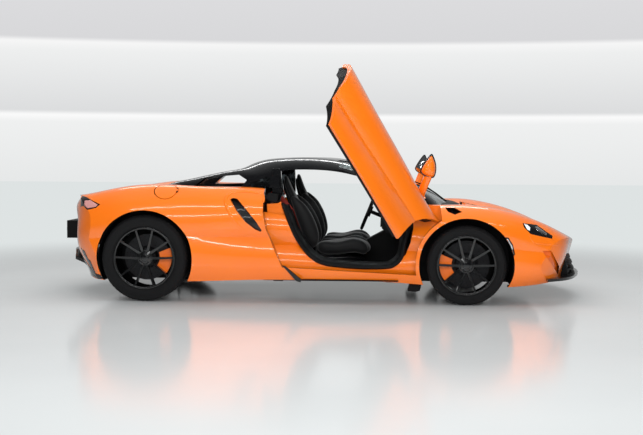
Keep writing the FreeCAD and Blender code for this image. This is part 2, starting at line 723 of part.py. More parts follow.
# Bonnet with its two hinges
bonnet = body_shell.common(bonnet_prism(0)).cut(outer_top)
bonnet_forks = []
for sign in (-1, 1):
    centre = Vector(size("bonnet_rear_x") - size("bonnet_hinge_back"), sign * size("bonnet_hinge_y"), size("bonnet_hinge_z"))
    eye_radius = size("lid_eye_radius")
    eye, fork = hinge_pair(centre, Vector(0, 1, 0), size("lid_pin_radius"), eye_radius, size("lid_eye_length"))
    half = size("lid_eye_length") / 2
    profile = [
        (centre.x, centre.z - eye_radius),
        (centre.x, centre.z + eye_radius),
        (centre.x + 3 * size("bonnet_hinge_back"), centre.z - eye_radius),
        (centre.x + 3 * size("bonnet_hinge_back"), centre.z - 2 * panel_wall),
        (centre.x + 1.5 * size("bonnet_hinge_back"), centre.z - 2 * panel_wall),
        (centre.x + 1.5 * size("bonnet_hinge_back"), centre.z - eye_radius),
    ]
    strap = side_prism(profile, centre.y - half, centre.y + half)
    pin_bore = rod(size("lid_pin_radius") + size("hinge_fit"), centre, Vector(0, 1, 0), -overrun, overrun)
    bonnet = bonnet.fuse([eye, strap.cut([pin_bore, inner_hull])])
    outer_end = size("lid_eye_length")
    stands = []
    for low, high in ((half + size("hinge_fit"), outer_end), (-outer_end, -half - size("hinge_fit"))):
        stand = block(centre.x - eye_radius, centre.x + eye_radius, centre.y + low, centre.y + high, centre.z - 2 * panel_wall, centre.z)
        stands.append(stand.cut([outer_hull, pin_bore]))
    bonnet_forks.append(one_solid(fork.fuse(stands)))
keep_shape("bonnet", one_solid(bonnet))

# Fuel flap on its own small hinge at the front of its rim
flap_hinge = flap_centre + Vector(size("flap_radius") + panel_gap / 2, 0, 0)
flap_pin_axis = Vector(0, math.sin(flap_tilt), math.cos(flap_tilt))
flap_eye, flap_fork = hinge_pair(
    flap_hinge, flap_pin_axis, size("lid_pin_radius"), size("lid_eye_radius"), size("lid_eye_length")
)
flap_pin_bore = rod(size("lid_pin_radius") + size("hinge_fit"), flap_hinge, flap_pin_axis, -overrun, overrun)
cheek_room = [
    rod(size("lid_eye_radius") + size("hinge_fit"), flap_hinge, flap_pin_axis, start, end)
    for start, end in ((size("lid_eye_length") / 2, overrun), (-overrun, -size("lid_eye_length") / 2))
]
flap = body_shell.common(flap_bore(size("flap_radius")))
flap = one_solid(flap.cut(cheek_room).fuse(flap_eye).cut(flap_pin_bore))
keep_shape("fuel_flap", flap)
keep_shape("hinges", Part.Compound([door_fork, mirrored(door_fork), flap_fork] + bonnet_forks))
eye_reach = size("lid_eye_length") / 2 + size("hinge_cheek_gap")
eye_room = rod(size("lid_eye_radius") + panel_gap / 2, flap_hinge, flap_pin_axis, -eye_reach, eye_reach)
rear_body = one_solid(rear_body.cut([flap_fork, eye_room]))

# Door jambs: the orange frame seen round each door opening
SEAL_SHARES = [(-0.110, 0.98), (-0.110, 0.692), (-0.085, 0.568), (-0.048, 0.437), (0.001, 0.322), (0.041, 0.284)]
SEAL_SHARES += [(0.082, 0.266), (0.244, 0.250), (0.308, 0.290), (0.335, 0.335), (0.352, 0.420), (0.362, 0.520), (0.362, 0.98)]
aperture = side_prism(in_side_view(SEAL_SHARES), -side_near, -half_width / 2)
jamb_zone = door_zone(panel_gap + size("jamb_wall"), swing_room)
tub_room = block(
    -half_length, half_length, -belly_half, belly_half, 0, size("sill_top_z") + size("floor_thickness") + press_gap
)
jamb_front_limit = wheel_hole(front_axle_x, arch_z, front_arch_radius + size("liner_wall"), -side_near, 0)
jamb = inner_hull.cut(jamb_back).common(jamb_zone)
jamb = jamb.cut([door_gap_zone.cut(jamb_hull), aperture, tub_room, jamb_front_limit, outer_top])
keep_shape("door_frames", both_sides(one_solid(jamb)))

keep_shape("front_body", front_body)
rear_item = keep_shape("rear_body", rear_body)
tray_half = size("floor_half_width")
keep_shape("underfloor", block(-size("underfloor_reach"), size("splitter_rear_x"), -tray_half, tray_half, belly, floor_top))

# Roof and glass
SCREEN_SHARES = [(0.60, 0.56), (0.60, 1.10), (0.115, 1.10), (0.085, 0.93), (0.36, 0.70), (0.42, 0.56)]
SIDE_WINDOW_SHARES = [(0.40, 0.56), (0.375, 0.72), (0.10, 0.912), (-0.06, 0.925), (-0.1335, 0.899), (-0.125, 0.752)]
SIDE_WINDOW_SHARES += [(-0.119, 0.56)]
QUARTER_SHARES = [(-0.253, 0.738), (-0.241, 0.811), (-0.173, 0.863), (-0.166, 0.860), (-0.162, 0.738)]
BUTTRESS_SHARES = [(-0.450, 0.738), (-0.450, 0.794), (-0.411, 0.854), (-0.282, 0.874), (-0.250, 0.838), (-0.278, 0.775)]
BUTTRESS_SHARES += [(-0.286, 0.738)]
SCREEN_HALF_SHARE = 0.64


def window_prism(shares):
    """A window seen from the side, pushed right across the car."""
    return side_prism(in_side_view(shares), -side_near, side_near)


screen_half = half_width * SCREEN_HALF_SHARE
channel_half = size("channel_half_width")
screen_band = block(-half_length, half_length, -screen_half, screen_half, 0, roof_height + overrun)
screen_hole = window_prism(SCREEN_SHARES).common(screen_band)
side_zone = window_prism(SIDE_WINDOW_SHARES).cut(screen_band)
quarter_zone = window_prism(QUARTER_SHARES).cut(screen_band)
buttress_zone = window_prism(BUTTRESS_SHARES)
channel = block(-half_length, size("rear_screen_x"), -channel_half, channel_half, 0, roof_height + overrun)
behind = block(-half_length, size("buttress_x"), -side_near, side_near, 0, roof_height + overrun)
cabin_room = inner_top.cut(behind)
middle_room = block(size("rear_screen_x"), size("buttress_x"), -channel_half, channel_half, 0, roof_height + overrun)
roof_seat = outer_hull.translated(Vector(0, 0, size("roof_bond")))
roof = outer_top.cut(roof_seat).cut(cabin_room)
roof = roof.cut(inner_top.common(middle_room)).cut(channel)
for hole in [screen_hole, side_zone, quarter_zone, buttress_zone] + door_holes:
    roof = roof.cut(hole)
keep_shape("roof_shell", one_solid(roof))
glass_ring = outer_top.cut(glass_top).cut(outer_hull)
keep_shape("windscreen", one_solid(glass_ring.common(screen_hole)))
quarter_glass = sorted(glass_ring.common(quarter_zone).cut(door_holes).Solids, key=lambda solid: solid.Volume)[-2:]
keep_shape("quarter_glass", Part.Compound(quarter_glass))
rear_pane = block(
    size("rear_screen_x"), size("rear_screen_x") + size("glass_wall"), -channel_half, channel_half, 0, roof_height
)
keep_shape("rear_screen", one_solid(rear_pane.common(inner_top).cut(outer_hull)))


# Wheels: each is modelled about its own axle with its outer face towards the car's right.
def wheel(axle, side):
    """One tyre, rim and brake disc, set on its hub."""
    radius = f"Sizes.{axle}_tyre_radius"
    half = f"Sizes.{axle}_tyre_width / 2"
    bead = f"Sizes.{axle}_rim_radius"
    rim_half = f"({half} - Sizes.tyre_shoulder * 0.6)"
    height = f"({radius} - {bead})"
    hub = Vector(size(f"{axle}_axle_x"), SIDES[side] * size(f"{axle}_track") / 2, size(f"{axle}_tyre_radius"))
    turned = Rotation(Vector(0, 0, 1), 0 if side == "right" else 180)
    place = Placement(hub, turned)

    tyre = document.addObject("PartDesign::Body", f"tyre_{axle}_{side}")
    section = sketch_on(tyre, "XY_Plane", "tyre_section")
    rising = [
        (f"{bead} + Sizes.tyre_seat_gap", f"{rim_half}"),
        (f"{bead} + {height} * 0.35", half),
        (f"{radius} - Sizes.tyre_shoulder", f"{half} - Sizes.tyre_shoulder * 0.12"),
        (f"{radius} - Sizes.tyre_shoulder * 0.25", f"{half} - Sizes.tyre_shoulder * 0.5"),
        (radius, f"{half} - Sizes.tyre_shoulder * 1.2"),
    ]
    outer_side = [(out, f"-({across})") for out, across in rising]
    outline(section, outer_side + list(reversed(rising)))
    revolve(tyre, section, "tyre_ring")
    keep(f"tyre_{axle}_{side}", tyre, place)

    rim = document.addObject("PartDesign::Body", f"rim_{axle}_{side}")
    section = sketch_on(rim, "XY_Plane", "barrel_section")
    well = f"{bead} - Sizes.rim_wall"
    outline(section, [
        (f"{well} - Sizes.rim_flange", f"-{rim_half}"),
        (bead, f"-{rim_half}"),
        (bead, rim_half),
        (well, rim_half),
        (well, f"-{rim_half} + Sizes.dish_depth"),
    ])
    revolve(rim, section, "barrel")
    section = sketch_on(rim, "XY_Plane", "hub_section")
    face = f"-{rim_half} + Sizes.dish_depth"
    outline(section, [
        ("0", face),
        ("Sizes.cap_radius", face),
        ("Sizes.hub_radius", f"{face} + Sizes.rim_flange"),
        ("Sizes.hub_radius", f"{face} + Sizes.spoke_depth * 2"),
        ("0", f"{face} + Sizes.spoke_depth * 2"),
    ])
    revolve(rim, section, "hub")
    spoke = sketch_on(rim, "XZ_Plane", "spoke_outline")
    spoke.setExpression("AttachmentOffset.Base.z", f"{rim_half} - Sizes.dish_depth - Sizes.spoke_depth")
    reach = f"({bead} - Sizes.rim_wall / 2)"
    for sign in ("", "-"):
        inner = f"{sign}Sizes.spoke_width * 0.55"
        inner_far = f"{sign}Sizes.spoke_width * 1.55"
        outer = f"{sign}{reach} * 0.26"
        outer_far = f"{sign}({reach} * 0.26 + Sizes.spoke_width * 0.7)"
        outline(spoke, [
            (inner, "Sizes.hub_radius * 0.8"),
            (outer, f"{reach} * 0.965"),
            (outer_far, f"{reach} * 0.945"),
            (inner_far, "Sizes.hub_radius * 0.7"),
        ])
    spokes = pad(rim, spoke, "spoke_pair", "Sizes.dish_depth + Sizes.spoke_depth")
    document.recompute()
    polar(rim, [spokes], "spokes", "Sizes.spoke_count")
    document.recompute()
    dish = sketch_on(rim, "XY_Plane", "dish_section")
    outline(dish, [
        ("0", f"-{rim_half} - Sizes.rim_flange"),
        (f"{bead} - Sizes.rim_flange * 2", f"-{rim_half} - Sizes.rim_flange"),
        (f"{bead} - Sizes.rim_flange * 2", f"-{rim_half} + Sizes.rim_wall / 2"),
        ("Sizes.hub_radius", face),
        ("0", face),
    ])
    groove = rim.newObject("PartDesign::Groove", "dish")
    groove.Profile = dish
    groove.ReferenceAxis = (dish, ["V_Axis"])
    groove.Angle = 360
    document.recompute()
    bolts = sketch_on(rim, "XZ_Plane", "bolt_outline")
    bolts.setExpression("AttachmentOffset.Base.z", f"{rim_half}")
    circle(bolts, "0", "Sizes.bolt_circle_radius * 0.8", "Sizes.bolt_hole_radius")
    pocket = rim.newObject("PartDesign::Pocket", "bolt_hole")
    pocket.Profile = bolts
    pocket.setExpression("Length", f"Sizes.{axle}_tyre_width")
    document.recompute()
    before = groove.Shape.Volume
    polar(rim, [pocket], "bolt_holes", "Sizes.spoke_count")
    document.recompute()
    print(rim.Name, "bolt holes took", round(before - rim.Shape.Volume), "of", round(before))
    keep(f"rim_{axle}_{side}", rim, place)

    disc = document.addObject("PartDesign::Body", f"disc_{axle}_{side}")
    section = sketch_on(disc, "XY_Plane", "disc_section")
    outer_face = f"-{rim_half} + Sizes.dish_depth + Sizes.spoke_depth * 2"
    friction = f"Sizes.{axle}_disc_radius"
    outline(section, [
        ("0", outer_face),
        ("Sizes.disc_bell_radius - Sizes.rim_flange", outer_face),
        ("Sizes.disc_bell_radius", f"{outer_face} + Sizes.disc_inset"),
        (friction, f"{outer_face} + Sizes.disc_inset"),
        (friction, f"{outer_face} + Sizes.disc_inset + Sizes.disc_thickness"),
        ("Sizes.disc_bell_radius - Sizes.rim_flange", f"{outer_face} + Sizes.disc_inset + Sizes.disc_thickness"),
        ("Sizes.disc_bell_radius - Sizes.rim_flange * 2", f"{outer_face} + Sizes.rim_flange"),
        ("0", f"{outer_face} + Sizes.rim_flange"),
    ])
    revolve(disc, section, "disc_ring")
    keep(f"disc_{axle}_{side}", disc, place)
    return place


hubs = {}
for axle in ("front", "rear"):
    for side in SIDES:
        hubs[axle, side] = wheel(axle, side)


# Brake calipers and uprights
def wheel_faces(axle):
    """How far the disc's bell and faces stand from the wheel's middle, towards the outside as minus."""
    rim_half = size(f"{axle}_tyre_width") / 2 - size("tyre_shoulder") * 0.6
    bell = -rim_half + size("dish_depth") + 2 * size("spoke_depth")
    outer = bell + size("disc_inset")
    return bell, outer, outer + size("disc_thickness")


def caliper_shape(axle, ahead):
    """A saddle over the disc's edge: a thick ring sector with a slot that clears the disc."""
    bell, outer, inner = wheel_faces(axle)
    clear = size("running_clearance")
    over = size("caliper_overhang")
    disc = size(f"{axle}_disc_radius")
    low = disc - size("caliper_reach")
    high = disc + over
    depth = inner - outer + 2 * (clear + over)
    start = Vector(0, outer - clear - over, 0)
    axis = Vector(0, 1, 0)
    ring = Part.makeCylinder(high, depth, start, axis)
    ring = ring.cut(Part.makeCylinder(low, depth, start, axis))
    slot_start = Vector(0, outer - clear, 0)
    slot = Part.makeCylinder(disc + clear, inner - outer + 2 * clear, slot_start, axis)
    half_angle = math.radians(size("caliper_angle") / 2)
    far = 2 * high
    edge = far * math.tan(half_angle)
    wedge = side_prism([(0, 0), (ahead * far, -edge), (ahead * far, edge)], -half_width, half_width)
    saddle = one_solid(ring.cut(slot).common(wedge))
    saddle.rotate(Vector(0, 0, 0), axis, ahead * size("caliper_drop_angle"))
    return saddle


def wheel_place(shape, axle, side):
    """A shape modelled about the right wheel's axle, mirrored for the left and moved to the hub."""
    if side == "left":
        shape = mirrored(shape)
    hub = hubs[axle, side].Base
    shape.translate(hub)
    return shape


def upright_shape(axle, ahead):
    """Hub carrier: a drum behind the disc's bell with an arm up and down to the ball joints."""
    bell, outer, inner = wheel_faces(axle)
    clear = size("running_clearance")
    face = bell + size("rim_flange") + size("press_gap")
    drum = Part.makeCylinder(size("upright_radius"), inner - face + size("upright_length"), Vector(0, face, 0), Vector(0, 1, 0))
    joint = size("ball_joint_height")
    ball = size("ball_joint_radius")
    arm_y = inner + clear + ball
    arm = block(-ball, ball, arm_y - ball + clear, arm_y + ball + clear, -joint, joint)
    back = inner + clear + size("caliper_overhang") + size("press_gap")
    reach = size(f"{axle}_disc_radius") - size("caliper_reach") / 2
    bracket = block(min(0, ahead * reach), max(0, ahead * reach), back, back + ball, -2 * ball, 2 * ball)
    return one_solid(drum.fuse([arm, bracket])), arm_y + clear


CALIPER_AHEAD = {"front": -1, "rear": 1}
for side in SIDES:
    caliper = caliper_shape("front", CALIPER_AHEAD["front"])
    keep_shape(f"caliper_front_{side}", wheel_place(caliper, "front", side))
    carrier, _ = upright_shape("front", CALIPER_AHEAD["front"])
    keep_shape(f"knuckle_{side}", wheel_place(carrier, "front", side))
rear_calipers = []
rear_carriers = []
for side in SIDES:
    caliper = caliper_shape("rear", CALIPER_AHEAD["rear"])
    rear_calipers.append(wheel_place(caliper, "rear", side))
    carrier, _ = upright_shape("rear", CALIPER_AHEAD["rear"])
    rear_carriers.append(wheel_place(carrier, "rear", side))
keep_shape("rear_calipers", Part.Compound(rear_calipers))
keep_shape("rear_uprights", Part.Compound(rear_carriers))


def wishbones(axle, grown=0):
    """Upper and lower A-arms of the right side: two tubes from a ball joint to the chassis, joined at the ball."""
    _, arm_y = upright_shape(axle, 1)
    hub = hubs[axle, "right"].Base
    joint = size("ball_joint_height")
    tube = size("wishbone_tube_radius") + grown
    spread = size("wishbone_spread")
    ball = size("ball_joint_radius")
    arms = []
    for up in (-1, 1):
        tip = hub + Vector(0, arm_y, up * (joint + size("wishbone_tube_radius") + size("press_gap")))
        legs = []
        for along in (-1, 1):
            foot = Vector(hub.x + along * spread, -size("chassis_half_width"), tip.z)
            legs.append(Part.makeCylinder(tube, (foot - tip).Length, tip, foot - tip))
        boss = Part.makeCylinder(ball, 2 * tube, tip - Vector(0, 0, tube), Vector(0, 0, 1))
        arms.append(one_solid(legs[0].fuse([legs[1], boss])))
    return arms


rail_gap = size("chassis_half_width") + press_gap
outside_rails = block(-half_length, half_length, -half_width, -rail_gap, 0, roof_height)
for axle in ("front", "rear"):
    right_arms = [one_solid(arm.common(outside_rails)) for arm in wishbones(axle)]
    keep_shape(f"{axle}_wishbones", Part.Compound(right_arms + [mirrored(arm) for arm in right_arms]))


# Cabin tub, arch liners and machinery
cabin_front = size("cabin_front_x")
cabin_rear = size("cabin_rear_x")
cabin_half = size("cabin_half_width")
floor_low = floor_top + press_gap
floor_high = floor_low + size("floor_thickness")
chassis = size("chassis_half_width")
wall = size("bulkhead_thickness")
step_z = size("wall_step_z")
wall_half = size("wall_half_width")


def cross_wall(x_low, x_high, top):
    """A wall across the cabin: full width low down, narrower above, clear of the doors."""
    low = block(x_low, x_high, -cabin_half, cabin_half, floor_low, step_z)
    return low.fuse(block(x_low, x_high, -wall_half, wall_half, floor_low, top))


tub_base = block(cabin_rear, cabin_front, -cabin_half, cabin_half, floor_low, floor_high)
sill_profile = [
    (cabin_rear, floor_low),
    (cabin_front, floor_low),
    (cabin_front, size("sill_top_z")),
    (cabin_rear, size("sill_top_z") + size("floor_thickness")),
]
sill_inner = cabin_half - size("sill_width")
right_sill = side_prism(sill_profile, -cabin_half, -sill_inner)
rail_top = size("rail_top_z")
front_leg = block(cabin_front - wall, size("front_chassis_x"), -chassis, -chassis + 2 * wall, floor_low, rail_top)
rear_leg = block(size("rear_chassis_x"), cabin_rear + wall, -chassis, -chassis + 2 * wall, floor_low, rail_top)
pad_half = size("jack_pad_size") / 2
pads = []
for pad_x in (size("jack_pad_x"), size("jack_pad_rear_x")):
    pad_y = -size("jack_pad_y")
    pads.append(block(
        pad_x - pad_half, pad_x + pad_half, pad_y - pad_half, pad_y + pad_half,
        floor_low - size("jack_pad_drop"), floor_high,
    ))
right_parts = [right_sill, front_leg, rear_leg] + pads
tub = tub_base.fuse([
    cross_wall(cabin_front - wall, cabin_front, size("front_wall_top_z")),
    cross_wall(cabin_rear, cabin_rear + wall, size("rear_wall_top_z")),
])
tub = tub.fuse(right_parts + [mirrored(piece) for piece in right_parts])
keep_shape("tub", one_solid(tub.removeSplitter()))

engine = document.addObject("Part::Box", "engine")
engine.setExpression("Length", "Sizes.engine_length")
engine.setExpression("Width", "Sizes.engine_width")
engine.setExpression("Height", "Sizes.engine_height")
engine.setExpression("Placement.Base.x", "Sizes.engine_x - Sizes.engine_length")
engine.setExpression("Placement.Base.y", "-Sizes.engine_width / 2")
engine.setExpression("Placement.Base.z", "Sizes.belly_height + Sizes.panel_wall + Sizes.press_gap")
keep("engine", engine)


def arch_liner(axle_x, centre_z, radius, inner_y):
    """A thin half-round tub over a right-hand wheel, closed by a flat wall on the inner side."""
    wall = size("liner_wall")
    outer_y = half_width * 0.90
    outer = wheel_hole(axle_x, centre_z, radius + wall, -outer_y, -inner_y + wall)
    inner = wheel_hole(axle_x, centre_z, radius, -outer_y - overrun, -inner_y)
    above = block(axle_x - 2 * radius, axle_x + 2 * radius, -half_width, 0, floor_low, roof_height)
    return one_solid(outer.cut(inner).common(above).common(inner_hull))


front_liner = arch_liner(front_axle_x, arch_z, front_arch_radius, size("front_liner_y"))
front_liner = one_solid(front_liner.cut(wishbones("front", size("running_clearance"))))
rear_liner = arch_liner(rear_axle_x, rear_arch_z, rear_arch_radius, size("rear_liner_y"))
rear_liner = one_solid(rear_liner.cut(wishbones("rear", size("running_clearance"))))
keep_shape("front_liners", both_sides(front_liner))
keep_shape("rear_liners", both_sides(rear_liner))

# Seats, dashboard, console and steering wheel
SEAT_SHARES = [(0.0, 0.02), (-0.02, 0.22), (0.02, 0.34), (0.12, 0.345), (0.45, 0.30), (0.64, 0.31), (0.76, 0.55)]
SEAT_SHARES += [(0.83, 0.80), (0.86, 0.93), (0.90, 0.985), (0.95, 1.0), (1.00, 0.985), (1.02, 0.94), (0.99, 0.78)]
SEAT_SHARES += [(0.92, 0.40), (0.86, 0.10), (0.80, 0.0)]
BOLSTER_SHARES = [(0.02, 0.20), (0.02, 0.38), (0.14, 0.41), (0.46, 0.38), (0.58, 0.42), (0.69, 0.62), (0.75, 0.76)]
BOLSTER_SHARES += [(0.84, 0.78), (0.92, 0.70), (0.92, 0.40), (0.80, 0.10)]
BOLSTER_WIDTH_SHARE = 0.2
HEAD_WIDTH_SHARE = 0.62
seat_run = size("seat_front_x") - size("seat_back_x")
seat_rise = size("seat_top_z") - floor_high
seat_width = size("seat_width")


def seat_profile(shares):
    """Points of a seat's side view, from shares of its run and rise."""
    return [(size("seat_front_x") - a * seat_run, floor_high + press_gap + b * seat_rise) for a, b in shares]


def seat(middle):
    """A bucket seat: a narrower middle with a headrest, between two raised bolsters."""
    half = seat_width / 2
    bolster = seat_width * BOLSTER_WIDTH_SHARE
    core = side_prism(seat_profile(SEAT_SHARES), middle - half + bolster, middle + half - bolster)
    left_bolster = side_prism(seat_profile(BOLSTER_SHARES), middle + half - bolster, middle + half)
    right_bolster = side_prism(seat_profile(BOLSTER_SHARES), middle - half, middle - half + bolster)
    return one_solid(core.fuse([left_bolster, right_bolster]).removeSplitter())


keep_shape("seats", both_sides(seat(-size("seat_centre_y"))))
dash_rear = size("dash_rear_x")
dash_top = size("dash_top_z")
dash_front = cabin_front - wall - press_gap
dash_points = [
    (dash_rear + wall, size("dash_bottom_z")),
    (dash_rear, size("dash_bottom_z") + wall),
    (dash_rear, dash_top - 3 * wall),
    (dash_rear + wall / 2, dash_top - wall),
    (dash_rear + 2 * wall, dash_top),
    (dash_front - 2 * wall, dash_top),
    (dash_front, dash_top - wall),
    (dash_front, size("dash_bottom_z")),
]
keep_shape("dashboard", side_prism(dash_points, -size("dash_half_width"), size("dash_half_width")))
console_points = [
    (cabin_rear + wall + press_gap, floor_high + press_gap),
    (cabin_rear + wall + press_gap, size("console_top_z")),
    (dash_rear - 5 * wall, size("console_top_z")),
    (dash_rear + wall, size("dash_bottom_z") - press_gap),
    (dash_front, size("dash_bottom_z") - press_gap),
    (dash_front, floor_high + press_gap),
]
keep_shape("centre_console", side_prism(console_points, -size("console_half_width"), size("console_half_width")))
wheel_centre = Vector(size("steering_wheel_x"), size("seat_centre_y"), size("steering_wheel_z"))
column_axis = Vector(math.cos(math.radians(size("steering_tilt"))), 0, -math.sin(math.radians(size("steering_tilt"))))
rim_ring = Part.makeTorus(size("steering_wheel_radius"), size("steering_rim_radius"), wheel_centre, column_axis)
boss = Part.makeCylinder(size("column_radius") * 1.8, size("column_radius"), wheel_centre, column_axis)
bar_span = size("steering_wheel_radius") * 2
bar = Part.makeBox(size("steering_rim_radius"), bar_span, size("column_radius"), Vector(0, -bar_span / 2, -size("column_radius") / 2))
drop_bar = Part.makeBox(size("steering_rim_radius"), size("column_radius"), bar_span / 2, Vector(0, -size("column_radius") / 2, -bar_span / 2))
bars = bar.fuse(drop_bar)
bars.Placement = Placement(wheel_centre, Rotation(Vector(1, 0, 0), column_axis))
shaft_radius = size("column_radius") * 0.6
shaft_reach = size("dash_rear_x") - size("steering_wheel_x") - size("press_gap") + shaft_radius * column_axis.z
shaft_length = shaft_reach / column_axis.x
shaft = Part.makeCylinder(shaft_radius, shaft_length, wheel_centre, column_axis)
keep_shape("steering_wheel", one_solid(rim_ring.fuse([boss, bars, shaft])))

# Nose: black intake insert and splitter
INTAKE_SHARES = [
    (0.186, (0.986, 0.978, 0.960, 0.860, 0.800, 0.66), (0.10, 0.10, 0.10, 0.10, 0.10, 0.10)),
    (0.260, (0.976, 0.968, 0.950, 0.860, 0.800, 0.66), (0.10, 0.10, 0.10, 0.10, 0.10, 0.10)),
    (0.350, (0.960, 0.950, 0.932, 0.860, 0.800, 0.66), (0.10, 0.10, 0.10, 0.10, 0.10, 0.10)),
]
SPLITTER_SHARES = [(1.0, 0.992, 0.966, 0.905, 0.84, 0.72), (0.10, 0.10, 0.10, 0.10, 0.10, 0.10)]
INTAKE_HALF_SHARE = 0.66
SLAT_COUNT = 3
intake_low = size("splitter_high_z")
intake_high = INTAKE_SHARES[-1][0] * roof_height
intake_half = INTAKE_HALF_SHARE * half_width
intake_room = block(size("splitter_rear_x"), half_length, -intake_half, intake_half, intake_low, intake_high)
intake_front = plan_loft(INTAKE_SHARES)
intake_mid = plan_loft(INTAKE_SHARES, size("recess_depth"))
intake_rear = plan_loft(INTAKE_SHARES, size("recess_depth") + size("insert_wall"))
rim_wall = size("insert_wall")
hollow = block(
    size("splitter_rear_x"), half_length, -intake_half + rim_wall, intake_half - rim_wall,
    intake_low + rim_wall, intake_high - rim_wall,
)
frame = intake_front.cut(intake_rear).common(intake_room).cut(hollow.cut(intake_mid))
slats = []
slat_step = (intake_high - intake_low) / (SLAT_COUNT + 1)
for count in range(1, SLAT_COUNT + 1):
    low = intake_low + count * slat_step - size("slat_height") / 2
    slats.append(block(size("splitter_rear_x"), half_length, -intake_half, intake_half, low, low + size("slat_height")))
slats.append(block(size("splitter_rear_x"), half_length, -rim_wall, rim_wall, intake_low, intake_high))
bars = [intake_front.cut(intake_rear).common(slat) for slat in slats]
intake = one_solid(frame.fuse(bars))
keep_shape("front_intakes", one_solid(intake.cut(outer_hull)))
splitter_low = size("splitter_high_z") - size("splitter_thickness")
splitter_rows = [(level / roof_height, *SPLITTER_SHARES) for level in (splitter_low, size("splitter_high_z"))]
ahead_room = block(size("splitter_rear_x"), half_length, -half_width, half_width, 0, roof_height)
keep_shape("splitter", one_solid(plan_loft(splitter_rows).common(ahead_room).cut(outer_hull)))

# Tail: mesh, exhaust in its surround, and the diffuser with its fins
exhaust_bore = size("exhaust_radius") + press_gap
surround = block(
    -half_length + size("surround_inset"), -half_length + size("exhaust_length"), -size("surround_half_width"),
    size("surround_half_width"), size("surround_low_z"), size("surround_high_z"),
)
rear_item.Shape = one_solid(rear_item.Shape.cut(surround))
pipes = []
bores = []
for sign in (-1, 1):
    start = Vector(-half_length, sign * size("exhaust_y"), size("exhaust_z"))
    length = size("exhaust_length")
    outer = Part.makeCylinder(size("exhaust_radius"), length, start, Vector(1, 0, 0))
    inner = Part.makeCylinder(size("exhaust_radius") - size("exhaust_wall"), length, start, Vector(1, 0, 0))
    pipes.append(outer.cut(inner))
    bores.append(rod(exhaust_bore, start, Vector(1, 0, 0), -overrun, 2 * length))
keep_shape("exhaust", Part.Compound(pipes))
keep_shape("exhaust_surround", one_solid(surround.cut(bores + [inner_hull])))
mesh_room = block(
    -half_length, size("tail_mesh_x"), -size("tail_mesh_half") - lap, size("tail_mesh_half") + lap,
    size("tail_mesh_low") - lap, size("tail_mesh_high") + lap,
)
mesh_back = one_solid(inner_hull.cut(backing_hull).common(mesh_room).cut(bores + [deck_prism(panel_gap)]))
slat_count = int((size("tail_mesh_high") - size("tail_mesh_low")) / size("slat_pitch"))
mesh_slats = []
for count in range(slat_count):
    low = size("tail_mesh_low") + (count + 1) * size("slat_pitch") - size("slat_height") / 2
    slat = body_shell.common(mesh_zone).common(block(
        -half_length, 0, -half_width, half_width, low, low + size("slat_height"),
    ))
    mesh_slats.append(slat)
tail_mesh = mesh_back.fuse([slat.cut([surround, deck_prism(panel_gap)]) for slat in mesh_slats])
keep_shape("tail_mesh", one_solid(tail_mesh))

RAMP_PLATE_SHARES = [(-0.727, 0.118), (-0.727, 0.141), (-0.938, 0.3118), (-0.99, 0.3118), (-0.99, 0.295), (-0.941, 0.289)]
FIN_SHARES = [(-0.740, 0.128), (-0.793, 0.109), (-0.823, 0.1115), (-0.854, 0.140), (-0.899, 0.232), (-0.905, 0.268)]
LIP_SHARES = [(0.10, 0.10, 0.10, 0.10, 0.10, 0.10), (0.968, 0.950, 0.918, 0.87, 0.81, 0.72)]
FIN_COUNT = 6
ramp = side_prism(in_side_view(RAMP_PLATE_SHARES), -size("diffuser_half_width"), size("diffuser_half_width"))
lip_rows = [(level, *LIP_SHARES) for level in (0.06, 0.50)]
fins = []
for count in range(FIN_COUNT):
    middle = (count - (FIN_COUNT - 1) / 2) * size("fin_pitch")
    half = size("fin_thickness") / 2
    fins.append(side_prism(in_side_view(FIN_SHARES), middle - half, middle + half))
diffuser = ramp.fuse(fins).common(plan_loft(lip_rows))
keep_shape("diffuser", one_solid(diffuser))

# Door mirrors
mirror_body = Part.makeSphere(size("mirror_length"))
mirror_squash = Matrix()
mirror_squash.A11 = size("mirror_depth") / size("mirror_length")
mirror_squash.A33 = size("mirror_height") / size("mirror_length")
mirror_body = mirror_body.transformGeometry(mirror_squash)
stalk_top = Vector(size("mirror_x"), -size("mirror_y"), size("mirror_z"))
mirror_body.translate(stalk_top)
stalk_foot = Vector(size("mirror_x") + size("mirror_length"), -half_width * 0.82, roof_height * 0.68)
stalk_radius = size("column_radius") / 2
stalk = Part.makeCylinder(stalk_radius, (stalk_top - stalk_foot).Length, stalk_foot, stalk_top - stalk_foot)
mirror_shape = one_solid(mirror_body.fuse(stalk).cut(whole_outer))
keep_shape("mirror_right", opened(mirror_shape))
keep_shape("mirror_left", mirrored(opened(mirror_shape)))
document.recompute()
problems = [item.Label for item in document.Objects if "Invalid" in item.State or "Error" in item.State]
for item in sub_parts:
    if item.Shape.isNull() or not item.Shape.isValid():
        problems.append(item.Label)
if problems:
    raise RuntimeError("these did not build: " + ", ".join(problems))

os.makedirs("parts", exist_ok=True)
for item in sub_parts:
    item.Shape.exportStep(f"parts/{item.Label}.step")
    print(item.Label, len(item.Shape.Solids), round(item.Shape.Volume / 1e6, 2), "litres")
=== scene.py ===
# %% [markdown]
# A low sports car stands in a pale showroom with both doors swung up. Its frame comes packed, with every
# panel, wheel and hinge in place, so this lesson dresses it: paint, glass, rubber, hide, lamps and light.
# All lengths are metres, +X points forward, +Y to the car's left and +Z up. Figures that were read as
# millimetres are written as such and turned into metres once, by MM.

# %% Load the frame
import json
import math

import bmesh
import bpy
import numpy as np
from mathutils import Matrix, Vector
from mathutils.bvhtree import BVHTree


